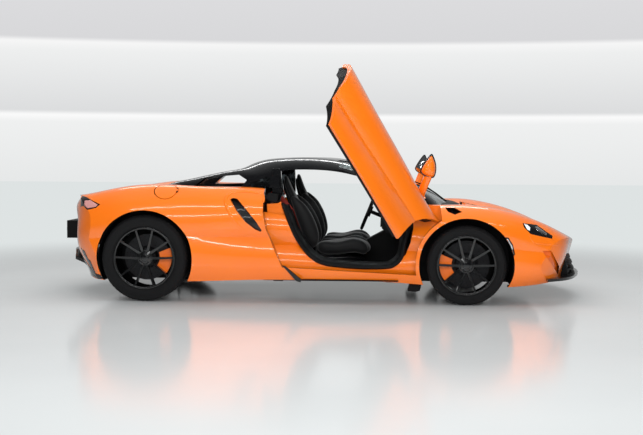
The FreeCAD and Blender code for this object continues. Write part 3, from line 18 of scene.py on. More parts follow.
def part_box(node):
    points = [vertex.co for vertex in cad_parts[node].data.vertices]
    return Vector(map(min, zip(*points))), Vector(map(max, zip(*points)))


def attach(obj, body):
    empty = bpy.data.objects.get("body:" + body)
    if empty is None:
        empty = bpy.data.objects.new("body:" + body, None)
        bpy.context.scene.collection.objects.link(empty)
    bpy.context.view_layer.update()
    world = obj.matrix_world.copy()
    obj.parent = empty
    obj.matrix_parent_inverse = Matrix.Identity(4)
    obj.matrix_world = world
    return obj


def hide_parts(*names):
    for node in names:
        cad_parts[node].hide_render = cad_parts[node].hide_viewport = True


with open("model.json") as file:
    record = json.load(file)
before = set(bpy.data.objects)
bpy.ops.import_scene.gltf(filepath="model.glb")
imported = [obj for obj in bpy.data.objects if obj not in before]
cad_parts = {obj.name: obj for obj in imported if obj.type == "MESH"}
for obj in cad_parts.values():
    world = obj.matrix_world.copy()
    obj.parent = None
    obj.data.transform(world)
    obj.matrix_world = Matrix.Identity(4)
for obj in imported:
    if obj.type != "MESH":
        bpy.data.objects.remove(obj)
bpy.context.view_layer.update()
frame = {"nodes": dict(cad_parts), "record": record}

nodes = frame["nodes"]
record_joints = {joint["name"]: joint for joint in frame["record"]["behaviour"]["joints"]}
MM = 0.001
SIDES = {"right": -1, "left": 1}
AXLES = ("front", "rear")

# %% [markdown]
# Colours are given as sRGB hex, the way a paint chip is named, but a shader mixes light in
# linear numbers, so one small function turns the first into the second. Every finish is then built by
# one helper that adds a node with its settings and its links, and reads as a short recipe.

# %% Colour and node helpers


def linear(hex_colour):
    """Each sRGB channel c becomes c / 12.92 below 0.04045, and ((c + 0.055) / 1.055) ** 2.4 above it."""
    channels = [int(hex_colour[i:i + 2], 16) / 255 for i in (1, 3, 5)]
    return tuple(c / 12.92 if c <= 0.04045 else ((c + 0.055) / 1.055) ** 2.4 for c in channels) + (1.0,)


def add(tree, kind, settings=None, links=None):
    """A shader node: settings go to its attributes or sockets, links to sockets from other outputs."""
    node = tree.nodes.new(kind)
    for key, value in (settings or {}).items():
        if isinstance(key, str) and hasattr(node, key):
            setattr(node, key, value)
        else:
            node.inputs[key].default_value = value
    for key, output in (links or {}).items():
        tree.links.new(output, node.inputs[key])
    return node


def material(name, **settings):
    """A new material whose Principled shader has the given settings; returns material, tree, shader."""
    made = bpy.data.materials.new(name)
    made.use_nodes = True
    tree = made.node_tree
    shader = tree.nodes["Principled BSDF"]
    for key, value in settings.items():
        shader.inputs[key.replace("_", " ")].default_value = value
    return made, tree, shader


def places(tree):
    """The object coordinates, which are metres in the car's own frame."""
    return add(tree, "ShaderNodeTexCoord").outputs["Object"]


def noise(tree, size, detail=2.0, stretch=(1, 1, 1)):
    """Noise whose grains are about size metres across, drawn out along any axis by stretch."""
    scale = tuple(1 / (size * s) for s in stretch)
    mapping = add(tree, "ShaderNodeMapping", {"Scale": scale}, {"Vector": places(tree)})
    made = add(
        tree, "ShaderNodeTexNoise", {"Scale": 1.0, "Detail": detail}, {"Vector": mapping.outputs["Vector"]},
    )
    return made.outputs["Fac"]


def spread(tree, value, low, high):
    """A 0 to 1 value mapped on to the range from low to high."""
    limits = {"To Min": low, "To Max": high}
    return add(tree, "ShaderNodeMapRange", limits, {"Value": value}).outputs["Result"]


def tint(tree, shader, value, first, second):
    """Lets the base colour wander between two sRGB hexes."""
    mix = add(tree, "ShaderNodeMix", {"data_type": "RGBA"}, {"Factor": value})
    mix.inputs["A"].default_value = linear(first)
    mix.inputs["B"].default_value = linear(second)
    tree.links.new(mix.outputs["Result"], shader.inputs["Base Color"])


def rough(tree, shader, value, low, high):
    """Lets the roughness wander between two values."""
    tree.links.new(spread(tree, value, low, high), shader.inputs["Roughness"])


def bumped(tree, shader, height, depth, strength, edge=None):
    """A bump of a real depth in metres, over a normal that rounds sharp edges by the radius edge."""
    bump = add(tree, "ShaderNodeBump", {"Distance": depth, "Strength": strength}, {"Height": height})
    if edge is not None:
        soft = add(tree, "ShaderNodeBevel", {"samples": 4, "Radius": edge})
        tree.links.new(soft.outputs["Normal"], bump.inputs["Normal"])
    tree.links.new(bump.outputs["Normal"], shader.inputs["Normal"])


# %% [markdown]
# The camera stands ten metres off the car's right side at head height, almost square to it, with a
# lens of about 60 mm. Its place and turn were worked out from the wheels, the ground and the roof.

# %% Camera
IMAGE_WIDTH = 643
CAMERA_PLACE = Vector((0.6455, -9.835, 1.196))
CAMERA_YAW, CAMERA_PITCH, CAMERA_ROLL = math.radians(-3.676), math.radians(-3.151), math.radians(0.301)
FOCAL_PIXELS = 1098.97
SENSOR_WIDTH = 36.0

ahead = Vector((
    math.sin(CAMERA_YAW) * math.cos(CAMERA_PITCH),
    math.cos(CAMERA_YAW) * math.cos(CAMERA_PITCH),
    math.sin(CAMERA_PITCH),
))
level_right = ahead.cross(Vector((0, 0, 1))).normalized()
level_up = level_right.cross(ahead)
right = level_right * math.cos(CAMERA_ROLL) + level_up * math.sin(CAMERA_ROLL)
up = level_up * math.cos(CAMERA_ROLL) - level_right * math.sin(CAMERA_ROLL)
camera_data = bpy.data.cameras.new("camera")
camera_data.sensor_width = SENSOR_WIDTH
camera_data.lens = FOCAL_PIXELS / IMAGE_WIDTH * SENSOR_WIDTH
camera = bpy.data.objects.new("camera", camera_data)
bpy.context.scene.collection.objects.link(camera)
turn = Matrix((right, up, -ahead)).transposed()
camera.matrix_world = Matrix.Translation(CAMERA_PLACE) @ turn.to_4x4()
bpy.context.scene.camera = camera
bpy.context.scene.view_settings.view_transform = "Standard"
print("lens", round(camera_data.lens, 2), "mm")

# %% [markdown]
# Each finish is named for what the real thing is made of. The orange is a solid base under a clear
# coat, with the faint ripple that sprayed paint has. Blacks differ by how they shine: lacquered roof,
# moulded trim, rubber, hide, cloth. Grain and ripple sizes are in millimetres of the real surface.

# %% Paint, plastics and metals
finishes = {}


def orange_paint():
    """Body paint: the clear coat gives the sharp streaks, the rougher base the broad soft glow."""
    made, tree, shader = material(
        "orange_paint", Roughness=0.32, IOR=1.5, Coat_Weight=1.0, Coat_Roughness=0.03, Coat_IOR=1.5,
    )
    tint(tree, shader, noise(tree, 300 * MM), "#F87408", "#FB7C10")
    ripple = noise(tree, 9 * MM, detail=1.0)
    bumped(tree, shader, ripple, depth=0.015 * MM, strength=0.6, edge=2.5 * MM)
    return made


def shell_paint(name, middle, least):
    """Orange where a face looks away from a middle point of the car, black underneath and inside.

    The test is the dot product of the face's normal and the way from the middle, the latter drawn in
    along the car so that its long flanks count as facing sideways.
    """
    made = finishes["orange_paint"].copy()
    made.name = name
    tree = made.node_tree
    shader = tree.nodes["Principled BSDF"]
    where = add(tree, "ShaderNodeTexCoord")
    away = add(tree, "ShaderNodeVectorMath", {"operation": "SUBTRACT"}, {0: where.outputs["Object"]})
    away.inputs[1].default_value = middle
    drawn_in = add(tree, "ShaderNodeVectorMath", {"operation": "MULTIPLY"}, {0: away.outputs["Vector"]})
    drawn_in.inputs[1].default_value = (0.3, 1.0, 1.0)
    facing = add(
        tree, "ShaderNodeVectorMath", {"operation": "DOT_PRODUCT"},
        {0: drawn_in.outputs["Vector"], 1: where.outputs["Normal"]},
    )
    outside = add(tree, "ShaderNodeMath", {"operation": "GREATER_THAN"}, {0: facing.outputs["Value"]})
    outside.inputs[1].default_value = least
    colour = shader.inputs["Base Color"].links[0].from_socket
    mix = add(tree, "ShaderNodeMix", {"data_type": "RGBA"}, {"Factor": outside.outputs["Value"]})
    mix.inputs["A"].default_value = linear("#0B0B0C")
    tree.links.new(colour, mix.inputs["B"])
    tree.links.new(mix.outputs["Result"], shader.inputs["Base Color"])
    return made


def lacquer(name, colour, second, roughness, edge=1.5):
    """A hard glossy lacquer: a clear coat over a base that clouds a little, with some waviness."""
    made, tree, shader = material(name, IOR=1.5, Coat_Weight=0.8, Coat_Roughness=0.04)
    cloudy = noise(tree, 80 * MM)
    tint(tree, shader, cloudy, colour, second)
    rough(tree, shader, cloudy, roughness, roughness + 0.1)
    ripple = noise(tree, 6 * MM, detail=1.0)
    bumped(tree, shader, ripple, depth=0.01 * MM, strength=0.5, edge=edge * MM)
    return made


def grained(name, colour, second, roughness, grain, depth, edge=1.5):
    """A moulded surface: a fine random grain, of a size and depth in millimetres, breaks up its sheen."""
    made, tree, shader = material(name, IOR=1.48, Specular_IOR_Level=0.28)
    fine = noise(tree, grain * MM, detail=4.0)
    tint(tree, shader, fine, colour, second)
    rough(tree, shader, fine, roughness - 0.06, roughness + 0.1)
    bumped(tree, shader, fine, depth=depth * MM, strength=0.8, edge=edge * MM)
    return made


def metal(name, colour, second, roughness, stretch=(1, 1, 1), size=2):
    """Bare metal, whose fine grain is brushed along the axes where stretch is long."""
    made, tree, shader = material(name, Metallic=1.0)
    brushed = noise(tree, size * MM, 3.0, stretch)
    tint(tree, shader, brushed, colour, second)
    rough(tree, shader, brushed, roughness, roughness + 0.15)
    bumped(tree, shader, brushed, depth=0.02 * MM, strength=0.5, edge=1 * MM)
    return made


def glass(name, colour, roughness):
    """Clear or tinted sheet glass, with a broad faint haze in its roughness."""
    made, tree, shader = material(name, IOR=1.5, Transmission_Weight=1.0)
    shader.inputs["Base Color"].default_value = linear(colour)
    rough(tree, shader, noise(tree, 120 * MM), roughness, roughness + 0.03)
    return made


finishes["orange_paint"] = orange_paint()
CAR_MIDDLE = (0, 0, 0.45)
finishes["orange_shell"] = shell_paint("orange_shell", CAR_MIDDLE, least=0.0)
finishes["jamb_paint"] = shell_paint("jamb_paint", CAR_MIDDLE, least=0.3)
RECIPES = (
    # Lacquers, with their roughness and edge radius in millimetres: the roof is the glossiest, wheels and
    # calipers are satin. Lamp cavities look near black through their covers, and the tail's is tinted red.
    (lacquer, "black_gloss", "#08080A", "#0C0C0E", 0.1),
    (lacquer, "wheel_black", "#050506", "#09090A", 0.2, 2.0),
    (lacquer, "caliper_orange", "#F26A12", "#FA7C20", 0.3, 3.0),
    (lacquer, "lamp_glass", "#0A0B0D", "#15171A", 0.06),
    (lacquer, "tail_lens", "#14090A", "#1C0A0C", 0.08),
    # Moulded and cast parts, with roughness, grain and depth: the coarser and deeper, the duller they look.
    (grained, "black_trim", "#080809", "#0E0E0F", 0.5, 0.8, 0.05),
    (grained, "cabin_black", "#0B0B0C", "#121213", 0.6, 1.2, 0.12, 3.0),
    (grained, "tyre_rubber", "#0D0D0E", "#171718", 0.66, 3.0, 0.06),
    (grained, "seal_rubber", "#0A0A0B", "#131314", 0.45, 1.5, 0.05),
    (grained, "grey_cast", "#252526", "#333334", 0.65, 4.0, 0.3),
    # Metals: dark ground discs, plain alloy, a polished pipe brushed along the car, and a mirror finish.
    (metal, "brake_steel", "#3A3A3C", "#505052", 0.45),
    (metal, "aluminium", "#8E8E90", "#A8A8AA", 0.3),
    (metal, "exhaust_steel", "#C2C2C4", "#DADADA", 0.12, (20, 1, 1), 1),
    (metal, "bright_chrome", "#E4E6E8", "#F2F2F4", 0.05),
    # Glass: a clear screen, and privacy glass behind the doors.
    (glass, "glazing", "#B9C4C4", 0.0),
    (glass, "dark_glass", "#3C4244", 0.02),
)
for recipe, name, *amounts in RECIPES:
    finishes[name] = recipe(name, *amounts)
print(len(finishes), "finishes")

# %% [markdown]
# Carbon fibre is a twill: flat bands, a few millimetres wide, that pass over and under each other. A
# checker of that scale, turned by 45 degrees, gives it that look from afar. Hide has pebbles parted by
# creases, so its bump is the distance to the edges of Voronoi cells.

# %% Carbon, hide, cloth and lamps


def carbon():
    """Twill under a thin clear coat: its bands take the light by turns."""
    made, tree, shader = material(
        "carbon_tub", IOR=1.5, Roughness=0.35, Coat_Weight=0.6, Coat_Roughness=0.08,
    )
    bias = {"Rotation": (0.3, 0.2, math.radians(45))}
    mapping = add(tree, "ShaderNodeMapping", bias, {"Vector": places(tree)})
    band = {"Scale": 1 / (4 * MM)}
    twill = add(tree, "ShaderNodeTexChecker", band, {"Vector": mapping.outputs["Vector"]}).outputs["Fac"]
    tint(tree, shader, twill, "#0C0C0D", "#18181A")
    bumped(tree, shader, twill, depth=0.04 * MM, strength=0.5, edge=2 * MM)
    return made


def hide(name, colour, second):
    """Leather: creased pebbles, with patches that wear has polished."""
    made, tree, shader = material(name, IOR=1.46, Specular_IOR_Level=0.35, Sheen_Weight=0.15)
    pebble = {"feature": "DISTANCE_TO_EDGE", "Scale": 1 / (3.5 * MM)}
    cells = add(tree, "ShaderNodeTexVoronoi", pebble, {"Vector": places(tree)})
    worn = noise(tree, 60 * MM, detail=3.0)
    tint(tree, shader, worn, colour, second)
    rough(tree, shader, worn, 0.38, 0.55)
    bumped(tree, shader, cells.outputs["Distance"], depth=0.25 * MM, strength=0.5)
    return made


def woven(name, colour, second, pitch):
    """Belt or thread: dull, with sine ribs of a real pitch in millimetres."""
    made, tree, shader = material(name, Roughness=0.85)
    rib = {"Scale": 1 / (pitch * MM) / 6.28, "Distortion": 0.4}
    ribs = add(tree, "ShaderNodeTexWave", rib, {"Vector": places(tree)}).outputs["Fac"]
    tint(tree, shader, ribs, colour, second)
    bumped(tree, shader, ribs, depth=0.3 * MM, strength=0.6)
    return made


def glowing(name, colour, strength):
    """A lamp element with a faint glow, painted light that makes it read pale in its dark cavity."""
    made, tree, shader = material(name, Emission_Strength=strength)
    shader.inputs["Base Color"].default_value = linear(colour)
    shader.inputs["Emission Color"].default_value = linear(colour)
    rough(tree, shader, noise(tree, 5 * MM), 0.2, 0.4)
    return made


def vent_black():
    """Black mouths at the side and the wing, and an orange fold where the front scoops are."""
    front_scoops_from = 1.5
    made, tree, shader = material("vent_black", Roughness=0.4, IOR=1.5, Coat_Weight=0.5)
    along = add(tree, "ShaderNodeSeparateXYZ", None, {"Vector": places(tree)})
    in_front = add(tree, "ShaderNodeMath", {"operation": "GREATER_THAN"}, {0: along.outputs["X"]})
    in_front.inputs[1].default_value = front_scoops_from
    tint(tree, shader, in_front.outputs["Value"], "#08080A", "#E8660C")
    bumped(tree, shader, noise(tree, 2 * MM), depth=0.05 * MM, strength=0.5, edge=2 * MM)
    return made


finishes["carbon_tub"] = carbon()
for recipe, name, *amounts in (
    (hide, "seat_leather", "#09090A", "#111112"),
    (woven, "stitch_thread", "#3A3A3C", "#4A4A4C", 0.8), (woven, "belt_webbing", "#7C2A24", "#8E332B", 1.6),
    # The faint glow of lamp_white and tail_pink is painted light that makes the lamps read pale.
    (glowing, "lamp_white", "#E8EEF6", 0.15), (glowing, "tail_pink", "#C98E8A", 0.03),
):
    finishes[name] = recipe(name, *amounts)
finishes["vent_black"] = vent_black()
for row in frame["record"]["subparts"]:
    item = nodes[row["node"]]
    item.data.materials.clear()
    item.data.materials.append(finishes[row["material_slot"]])
for name, finish in (
    ("vents", "vent_black"), ("tail_mesh", "black_trim"), ("front_intakes", "black_trim"),
    ("front_body", "orange_shell"), ("rear_body", "orange_shell"), ("door_frames", "jamb_paint"),
    ("quarter_glass", "dark_glass"), ("rear_screen", "dark_glass"),
):
    nodes[name].data.materials[0] = finishes[finish]
print("dressed", len(nodes), "nodes in", len(finishes), "finishes")

# %% [markdown]
# Every new piece is a surface worked out as a whole array of points. A grid of rows and columns makes
# most of them: a profile turned round an axle, a section drawn along a path, a cushion's crown. The
# helpers below turn such grids into meshes, find the skin of a panel, and swing a piece with its door.


def keep(name, vertices, faces, finish, body="root", smooth=True):
    """A piece from an array of points and a list or array of faces, which rides on a body."""
    mesh = bpy.data.meshes.new(name)
    mesh.from_pydata([tuple(map(float, v)) for v in vertices], [], [tuple(map(int, f)) for f in faces])
    mesh.validate()
    mesh.polygons.foreach_set("use_smooth", [smooth] * len(mesh.polygons))
    mesh.materials.append(finishes[finish])
    piece = bpy.data.objects.new(name, mesh)
    bpy.context.scene.collection.objects.link(piece)
    outward = bmesh.new()
    outward.from_mesh(mesh)
    bmesh.ops.recalc_face_normals(outward, faces=outward.faces)
    outward.to_mesh(mesh)
    outward.free()
    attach(piece, body)
    return piece


def grid_faces(rows, columns, wrap_rows, wrap_columns):
    """Quads between neighbours of a rows by columns grid, joined round where it wraps."""
    row = np.arange(rows if wrap_rows else rows - 1)[:, None]
    column = np.arange(columns if wrap_columns else columns - 1)[None, :]
    next_row, next_column = (row + 1) % rows, (column + 1) % columns
    corners = np.broadcast_arrays(
        row * columns + column, row * columns + next_column,
        next_row * columns + next_column, next_row * columns + column,
    )
    return np.stack([corner.ravel() for corner in corners], axis=1)


def grid_piece(name, points, finish, body="root", wrap_rows=False, wrap_columns=False, caps=False):
    """A piece from an array of points shaped rows, columns, 3; caps close the first and last rows."""
    rows, columns = points.shape[:2]
    faces = grid_faces(rows, columns, wrap_rows, wrap_columns).tolist()
    if caps:
        faces.append(list(range(columns))[::-1])
        faces.append(list(range((rows - 1) * columns, rows * columns)))
    return keep(name, points.reshape(-1, 3), faces, finish, body)


def rod(name, points, finish, body="root"):
    """A closed grid whose sections are rings and whose two ends are capped."""
    return grid_piece(name, points, finish, body, wrap_columns=True, caps=True)


def smooth_path(points, count, closed=False):
    """Catmull-Rom curve through points: each span blends its four nearest points by cubic weights."""
    points = np.asarray(points, float)
    last = len(points)
    spans = last if closed else last - 1
    where = np.linspace(0, spans, count, endpoint=not closed)
    span = np.minimum(where.astype(int), spans - 1)
    t = (where - span)[:, None]
    near = [(span + k) % last if closed else np.clip(span + k, 0, last - 1) for k in (-1, 0, 1, 2)]
    p0, p1, p2, p3 = (points[index] for index in near)
    square, cube = 2 * p0 - 5 * p1 + 4 * p2 - p3, 3 * p1 - p0 - 3 * p2 + p3
    return 0.5 * (2 * p1 + (p2 - p0) * t + square * t ** 2 + cube * t ** 3)


def drawn_along(path, section, facing, closed=False):
    """A section of (side, out) offsets drawn along a path; facing says which way is out at each point."""
    path = np.asarray(path, float)
    ahead = np.gradient(path, axis=0)
    if closed:
        ahead = np.roll(path, -1, axis=0) - np.roll(path, 1, axis=0)
    ahead /= np.linalg.norm(ahead, axis=1, keepdims=True)
    out = np.broadcast_to(np.asarray(facing, float), path.shape)
    out = out - ahead * (out * ahead).sum(axis=1, keepdims=True)
    out /= np.linalg.norm(out, axis=1, keepdims=True)
    side = np.cross(ahead, out)
    section = np.asarray(section, float)
    return path[:, None] + side[:, None] * section[None, :, :1] + out[:, None] * section[None, :, 1:]


def oval_section(half_width, half_height, count):
    """Points of an ellipse as side and out offsets."""
    angle = np.linspace(0, 2 * math.pi, count, endpoint=False)
    return np.stack([np.cos(angle) * half_width, np.sin(angle) * half_height], axis=1)


def bar_section(width_mm, height_mm, corner_mm):
    """A flat bar's section with cut corners."""
    w, h, c = width_mm * MM / 2, height_mm * MM / 2, corner_mm * MM
    below = [(-w, -h + c), (-w + c, -h), (w - c, -h), (w, -h + c)]
    return np.array(below + [(-x, -y) for x, y in below])


skins = {}
CAST_FROM = 1.4
CAR_SIDE = 0.95


def skin_of(node):
    """A node's surface, ready for finding points on it."""
    if node not in skins:
        mesh = nodes[node].data
        corners = [v.co for v in mesh.vertices]
        skins[node] = BVHTree.FromPolygons(corners, [tuple(p.vertices) for p in mesh.polygons])
    return skins[node]


def on_skin(node, x, z, lift, side):
    """The point of a node's outside that a level line from the car's side meets, lifted off it."""
    start, way = Vector((x, side * CAST_FROM, z)), Vector((0, -side, 0))
    place, normal, _, _ = skin_of(node).ray_cast(start, way)
    if place is None:
        place, normal, _, _ = skin_of(node).find_nearest(Vector((x, side * CAR_SIDE, z)))
    if normal.dot(way) > 0:
        normal = -normal
    return place + normal * lift


PATCH_EDGE = 14 * MM
PATCH_ROUNDS = 6


def patch(name, node, lift_mm, finish, outline_mm, thickness_mm=1.0):
    """A thin plate of any outline, given in X and Z millimetres, laid on a node's skin on both sides."""
    for side_name, side in SIDES.items():
        flat = bmesh.new()
        flat.faces.new([flat.verts.new((x * MM, 0, z * MM)) for x, z in outline_mm])
        bmesh.ops.triangulate(flat, faces=flat.faces)
        for _ in range(PATCH_ROUNDS):
            long_edges = [e for e in flat.edges if e.calc_length() > PATCH_EDGE]
            if not long_edges:
                break
            bmesh.ops.subdivide_edges(flat, edges=long_edges, cuts=1)
            bmesh.ops.triangulate(flat, faces=flat.faces)
        for vertex in flat.verts:
            vertex.co = on_skin(node, vertex.co.x, vertex.co.z, lift_mm * MM, side)
        flat.verts.index_update()
        points = [tuple(v.co) for v in flat.verts]
        faces = [tuple(v.index for v in f.verts) for f in flat.faces]
        flat.free()
        plate = keep(f"{name}_{side_name}", points, faces, finish).modifiers.new("plate", "SOLIDIFY")
        plate.thickness = thickness_mm * MM
        plate.offset = 0


def swung(points, side_name):
    """Points of a shut door turned to its open place, about its own hinge and by its own range."""
    joint = record_joints[f"door_{side_name}"]
    pivot = np.array(joint["pos_m"])
    shut = max(joint["range_deg"], key=abs)
    spin = np.array(Matrix.Rotation(-math.radians(shut), 3, Vector(joint["axis"])))
    return (points - pivot) @ spin.T + pivot


print("helpers ready")

# %% [markdown]
# A tyre is a profile turned round its axle. Its tread has round grooves, which are dips in the profile,
# and slanting ones, which are dips that repeat along the turn. The flank carries two raised rings. One
# array holds all of it: rows run round the tyre, columns across it.

# %% Tyres
TYRE_TURNS = 216
TYRE_WIDTH_SHARE = 0.994
TREAD_BLOCKS = 54
TREAD_EDGE = 0.80
TREAD_DEPTH = 14 * MM
CROWN_DROP = 3 * MM
SLANT_DEPTH = 5 * MM
SLANT_SHARE = 0.22
SLANT_TWIST = 1.6
SLANT_FROM = 0.2
GROOVE_DEPTH = 7 * MM
GROOVE_PLACES = (-0.46, -0.16, 0.16, 0.46)
GROOVE_HALF = 0.045
RING_HEIGHT = 1.2 * MM


def node_middle(node):
    """A node's middle, and half its size along each axis."""
    low, high = (np.array(corner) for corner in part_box(node))
    return (low + high) / 2, (high - low) / 2


def tyre(axle, side_name):
    """Radius over width: flat tread, rounded shoulder, bulged flank; dips are cut out of the tread."""
    centre, (_, half, radius) = node_middle(f"tyre_{axle}_{side_name}")
    bead = node_middle(f"rim_{axle}_{side_name}")[1][2] + 1 * MM
    wall = radius - bead
    flank = smooth_path([
        (0.86, bead), (0.93, bead + 8 * MM), (0.985, bead + 0.30 * wall), (1.0, bead + 0.5 * wall),
        (0.985, bead + 0.72 * wall), (0.94, radius - 18 * MM), (0.88, radius - 8 * MM),
        (TREAD_EDGE, radius - CROWN_DROP),
    ], 34)
    lower_ring = np.exp(-((flank[:, 1] - bead - 14 * MM) / (2 * MM)) ** 2)
    upper_ring = np.exp(-((flank[:, 1] - radius + 26 * MM) / (2.5 * MM)) ** 2)
    flank[:, 0] += (lower_ring + upper_ring) * RING_HEIGHT / half
    across = np.linspace(TREAD_EDGE, -TREAD_EDGE, 49)[1:-1]
    crown = np.stack([across, radius - CROWN_DROP * (across / TREAD_EDGE) ** 2], 1)
    seat_line = [(-TREAD_EDGE, bead - 2 * MM), (TREAD_EDGE, bead - 2 * MM)]
    place, height = np.vstack([flank, crown, flank[::-1] * [-1, 1], seat_line]).T
    ring_dip = sum(np.exp(-((place - g) / GROOVE_HALF) ** 4) for g in GROOVE_PLACES) * GROOVE_DEPTH
    angle = np.linspace(0, 2 * math.pi, TYRE_TURNS, endpoint=False)[:, None]
    phase = (angle * TREAD_BLOCKS / (2 * math.pi) + np.abs(place)[None, :] * SLANT_TWIST) % 1.0
    slanted = (phase < SLANT_SHARE) & (np.abs(place) > SLANT_FROM)[None, :]
    dips = np.maximum(ring_dip[None, :], np.where(slanted, SLANT_DEPTH, 0.0))
    reach = height[None, :] - dips * (height > radius - TREAD_DEPTH)[None, :]
    points = np.stack([
        centre[0] + reach * np.cos(angle),
        centre[1] + np.broadcast_to(place * half * TYRE_WIDTH_SHARE, reach.shape),
        centre[2] + reach * np.sin(angle),
    ], axis=2)
    body = f"wheel_{axle}_{side_name}"
    piece = grid_piece(f"tyre_skin_{axle}_{side_name}", points, "tyre_rubber", body, True, True)
    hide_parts(f"tyre_{axle}_{side_name}")


for axle in AXLES:
    for side_name in SIDES:
        tyre(axle, side_name)
print("four tyres")

# %% [markdown]
# Wheels get what a bare casting lacks: a domed cap, five bolt heads in their bores, a cut edge round the
# lip and three rings of drilled holes in the brake disc, which are dark buttons of painted shade, not cut
# holes. Each is a loop of small turned shapes.

# %% Wheel details
BOLTS = 5
BOLT_CIRCLE = 44.8 * MM
BOLT_RADIUS = 6.8 * MM
BOLT_HEAD = 6 * MM
BOLT_SUNK = 9 * MM
DISH_DEPTH = 34 * MM
CAP_PROFILE = [(30, 0.5), (30, 3), (27, 5.5), (18, 7), (0.01, 7.5)]
LIP_PROFILE = [(-16, -2), (-14.5, 0.6), (-3, 1.2), (-0.5, -1), (-0.5, -4)]
DRILLINGS = 30
DRILLING_ROW_SHARES = (0.62, 0.76, 0.90)
DRILLING_RADIUS = 3.5 * MM
DRILLING_STEP = 0.3 * MM
DISC_FACE_INSET = 40 * MM
BUTTON_TOP_SHARE = 0.86


def turned(name, centre, outward, profile_mm, finish, body, turns=48):
    """A lathe shape: (radius, reach) pairs in millimetres turned about a level axis across the car."""
    profile = np.asarray(profile_mm, float) * MM
    angle = np.linspace(0, 2 * math.pi, turns, endpoint=False)[:, None]
    points = np.stack([
        centre[0] + profile[None, :, 0] * np.cos(angle),
        np.broadcast_to(centre[1] + outward * profile[None, :, 1], (turns, len(profile))),
        centre[2] + profile[None, :, 0] * np.sin(angle),
    ], axis=2)
    grid_piece(name, points, finish, body, wrap_rows=True)


def button(centre, radius, reach, sides, outward):
    """A shallow button: a round rim and a smaller flat face, as points and faces."""
    angle = np.linspace(0, 2 * math.pi, sides, endpoint=False)
    depth = np.full(sides, centre[1])
    ring = np.stack([centre[0] + radius * np.cos(angle), depth, centre[2] + radius * np.sin(angle)], 1)
    top = ring.copy()
    top[:, 1] += outward * reach
    top[:, [0, 2]] = centre[[0, 2]] + (top[:, [0, 2]] - centre[[0, 2]]) * BUTTON_TOP_SHARE
    faces = [[i, (i + 1) % sides, sides + (i + 1) % sides, sides + i] for i in range(sides)]
    faces += [list(range(sides, 2 * sides)), list(range(sides))[::-1]]
    return np.vstack([ring, top]), faces


def buttons(name, spots, radius, reach, sides, outward, finish, body):
    """Buttons on several spots, as one faceted piece."""
    vertices, faces = [], []
    for spot in spots:
        points, button_faces = button(spot, radius, reach, sides, outward)
        faces += [[corner + len(points) * len(vertices) for corner in face] for face in button_faces]
        vertices.append(points)
    keep(name, np.vstack(vertices), faces, finish, body, smooth=False)


def around(radius, angle):
    """A step of a radius and an angle in the plane of a wheel."""
    return np.array([radius * math.cos(angle), 0, radius * math.sin(angle)])


def wheel_details(axle, side_name):
    """Cap, lip, bolts and disc drillings of one wheel, all on its own body."""
    outward = SIDES[side_name]
    wheel = f"{axle}_{side_name}"
    body = f"wheel_{wheel}"
    centre, (_, face, lip) = node_middle(f"rim_{wheel}")
    out = np.array([0, outward, 0])
    hub = centre + out * (face - DISH_DEPTH)
    turned(f"cap_{wheel}", hub, outward, CAP_PROFILE, "black_gloss", body)
    ring = [(lip / MM + inset, rise) for inset, rise in LIP_PROFILE]
    turned(f"lip_{wheel}", centre + out * face, outward, ring, "wheel_black", body, 96)
    angles = [math.radians(90) + 2 * math.pi * count / BOLTS for count in range(BOLTS)]
    spots = [hub + around(BOLT_CIRCLE, angle) - out * BOLT_SUNK for angle in angles]
    buttons(f"bolts_{wheel}", spots, BOLT_RADIUS, BOLT_HEAD, 6, outward, "brake_steel", body)
    disc_middle, (_, disc_half, disc_radius) = node_middle(f"disc_{wheel}")
    disc_centre = np.array([centre[0], disc_middle[1] + outward * (disc_half - DISC_FACE_INSET), centre[2]])
    spots = []
    for share in DRILLING_ROW_SHARES:
        for step in range(DRILLINGS):
            angle = 2 * math.pi * (step / DRILLINGS + share)
            spots.append(disc_centre + around(share * disc_radius, angle))
    # Dark buttons stand for the drilled holes: painted shade, as the holes are not cut.
    buttons(f"drillings_{wheel}", spots, DRILLING_RADIUS, DRILLING_STEP, 8, outward, "seal_rubber", body)


for axle in AXLES:
    for side_name in SIDES:
        wheel_details(axle, side_name)

# %% [markdown]
# A bucket seat is three padded forms on a hard shell: a cushion, a tall narrow back that runs on into
# the headrest, and raised bolsters either side of each. Every pad is a closed grid: its sections are
# rounded boxes that swell in the middle, with the sewn seam as a dip where the panels meet.

# %% Seats
SEAT_MIDDLE = 0.375
THIGH_OFFSET, FLANK_OFFSET = 0.198, 0.190
SEAM_MM = 2.5
SEAM_REACH = 0.05
SEAM_SHARE = 0.35
SEAM_ANGLE, SEAM_WIDTH = 1.05, 0.07
END_POWER = 8
LEAST_CLOSING = 0.02
# Side-view runs in X and Z millimetres, with half width and thickness, from front or foot to the end.
CUSHION_RUN = [
    (440, 385, 130, 60), (415, 420, 150, 95), (330, 440, 158, 120), (200, 424, 160, 125),
    (60, 412, 155, 120), (-10, 418, 140, 90),
]
BACK_RUN = [
    (-50, 430, 135, 66), (-82, 520, 150, 80), (-116, 640, 152, 82), (-152, 760, 136, 74),
    (-184, 850, 100, 62), (-212, 920, 76, 54), (-232, 985, 70, 46), (-240, 1036, 60, 32),
]
BOLSTER_LOW_RUN = [
    (430, 385, 30, 60), (395, 428, 42, 104), (330, 452, 46, 118), (200, 430, 46, 104),
    (90, 430, 44, 110), (20, 445, 36, 84),
]
BOLSTER_HIGH_RUN = [
    (-20, 430, 34, 70), (-28, 520, 46, 130), (-62, 640, 50, 138), (-108, 750, 44, 112),
    (-150, 820, 30, 66), (-176, 862, 16, 34),
]
SHELL_FOOT_RUN = [
    (430, 330, 190, 30), (300, 345, 205, 36), (120, 340, 210, 36), (-10, 345, 214, 40), (-88, 420, 216, 40),
]
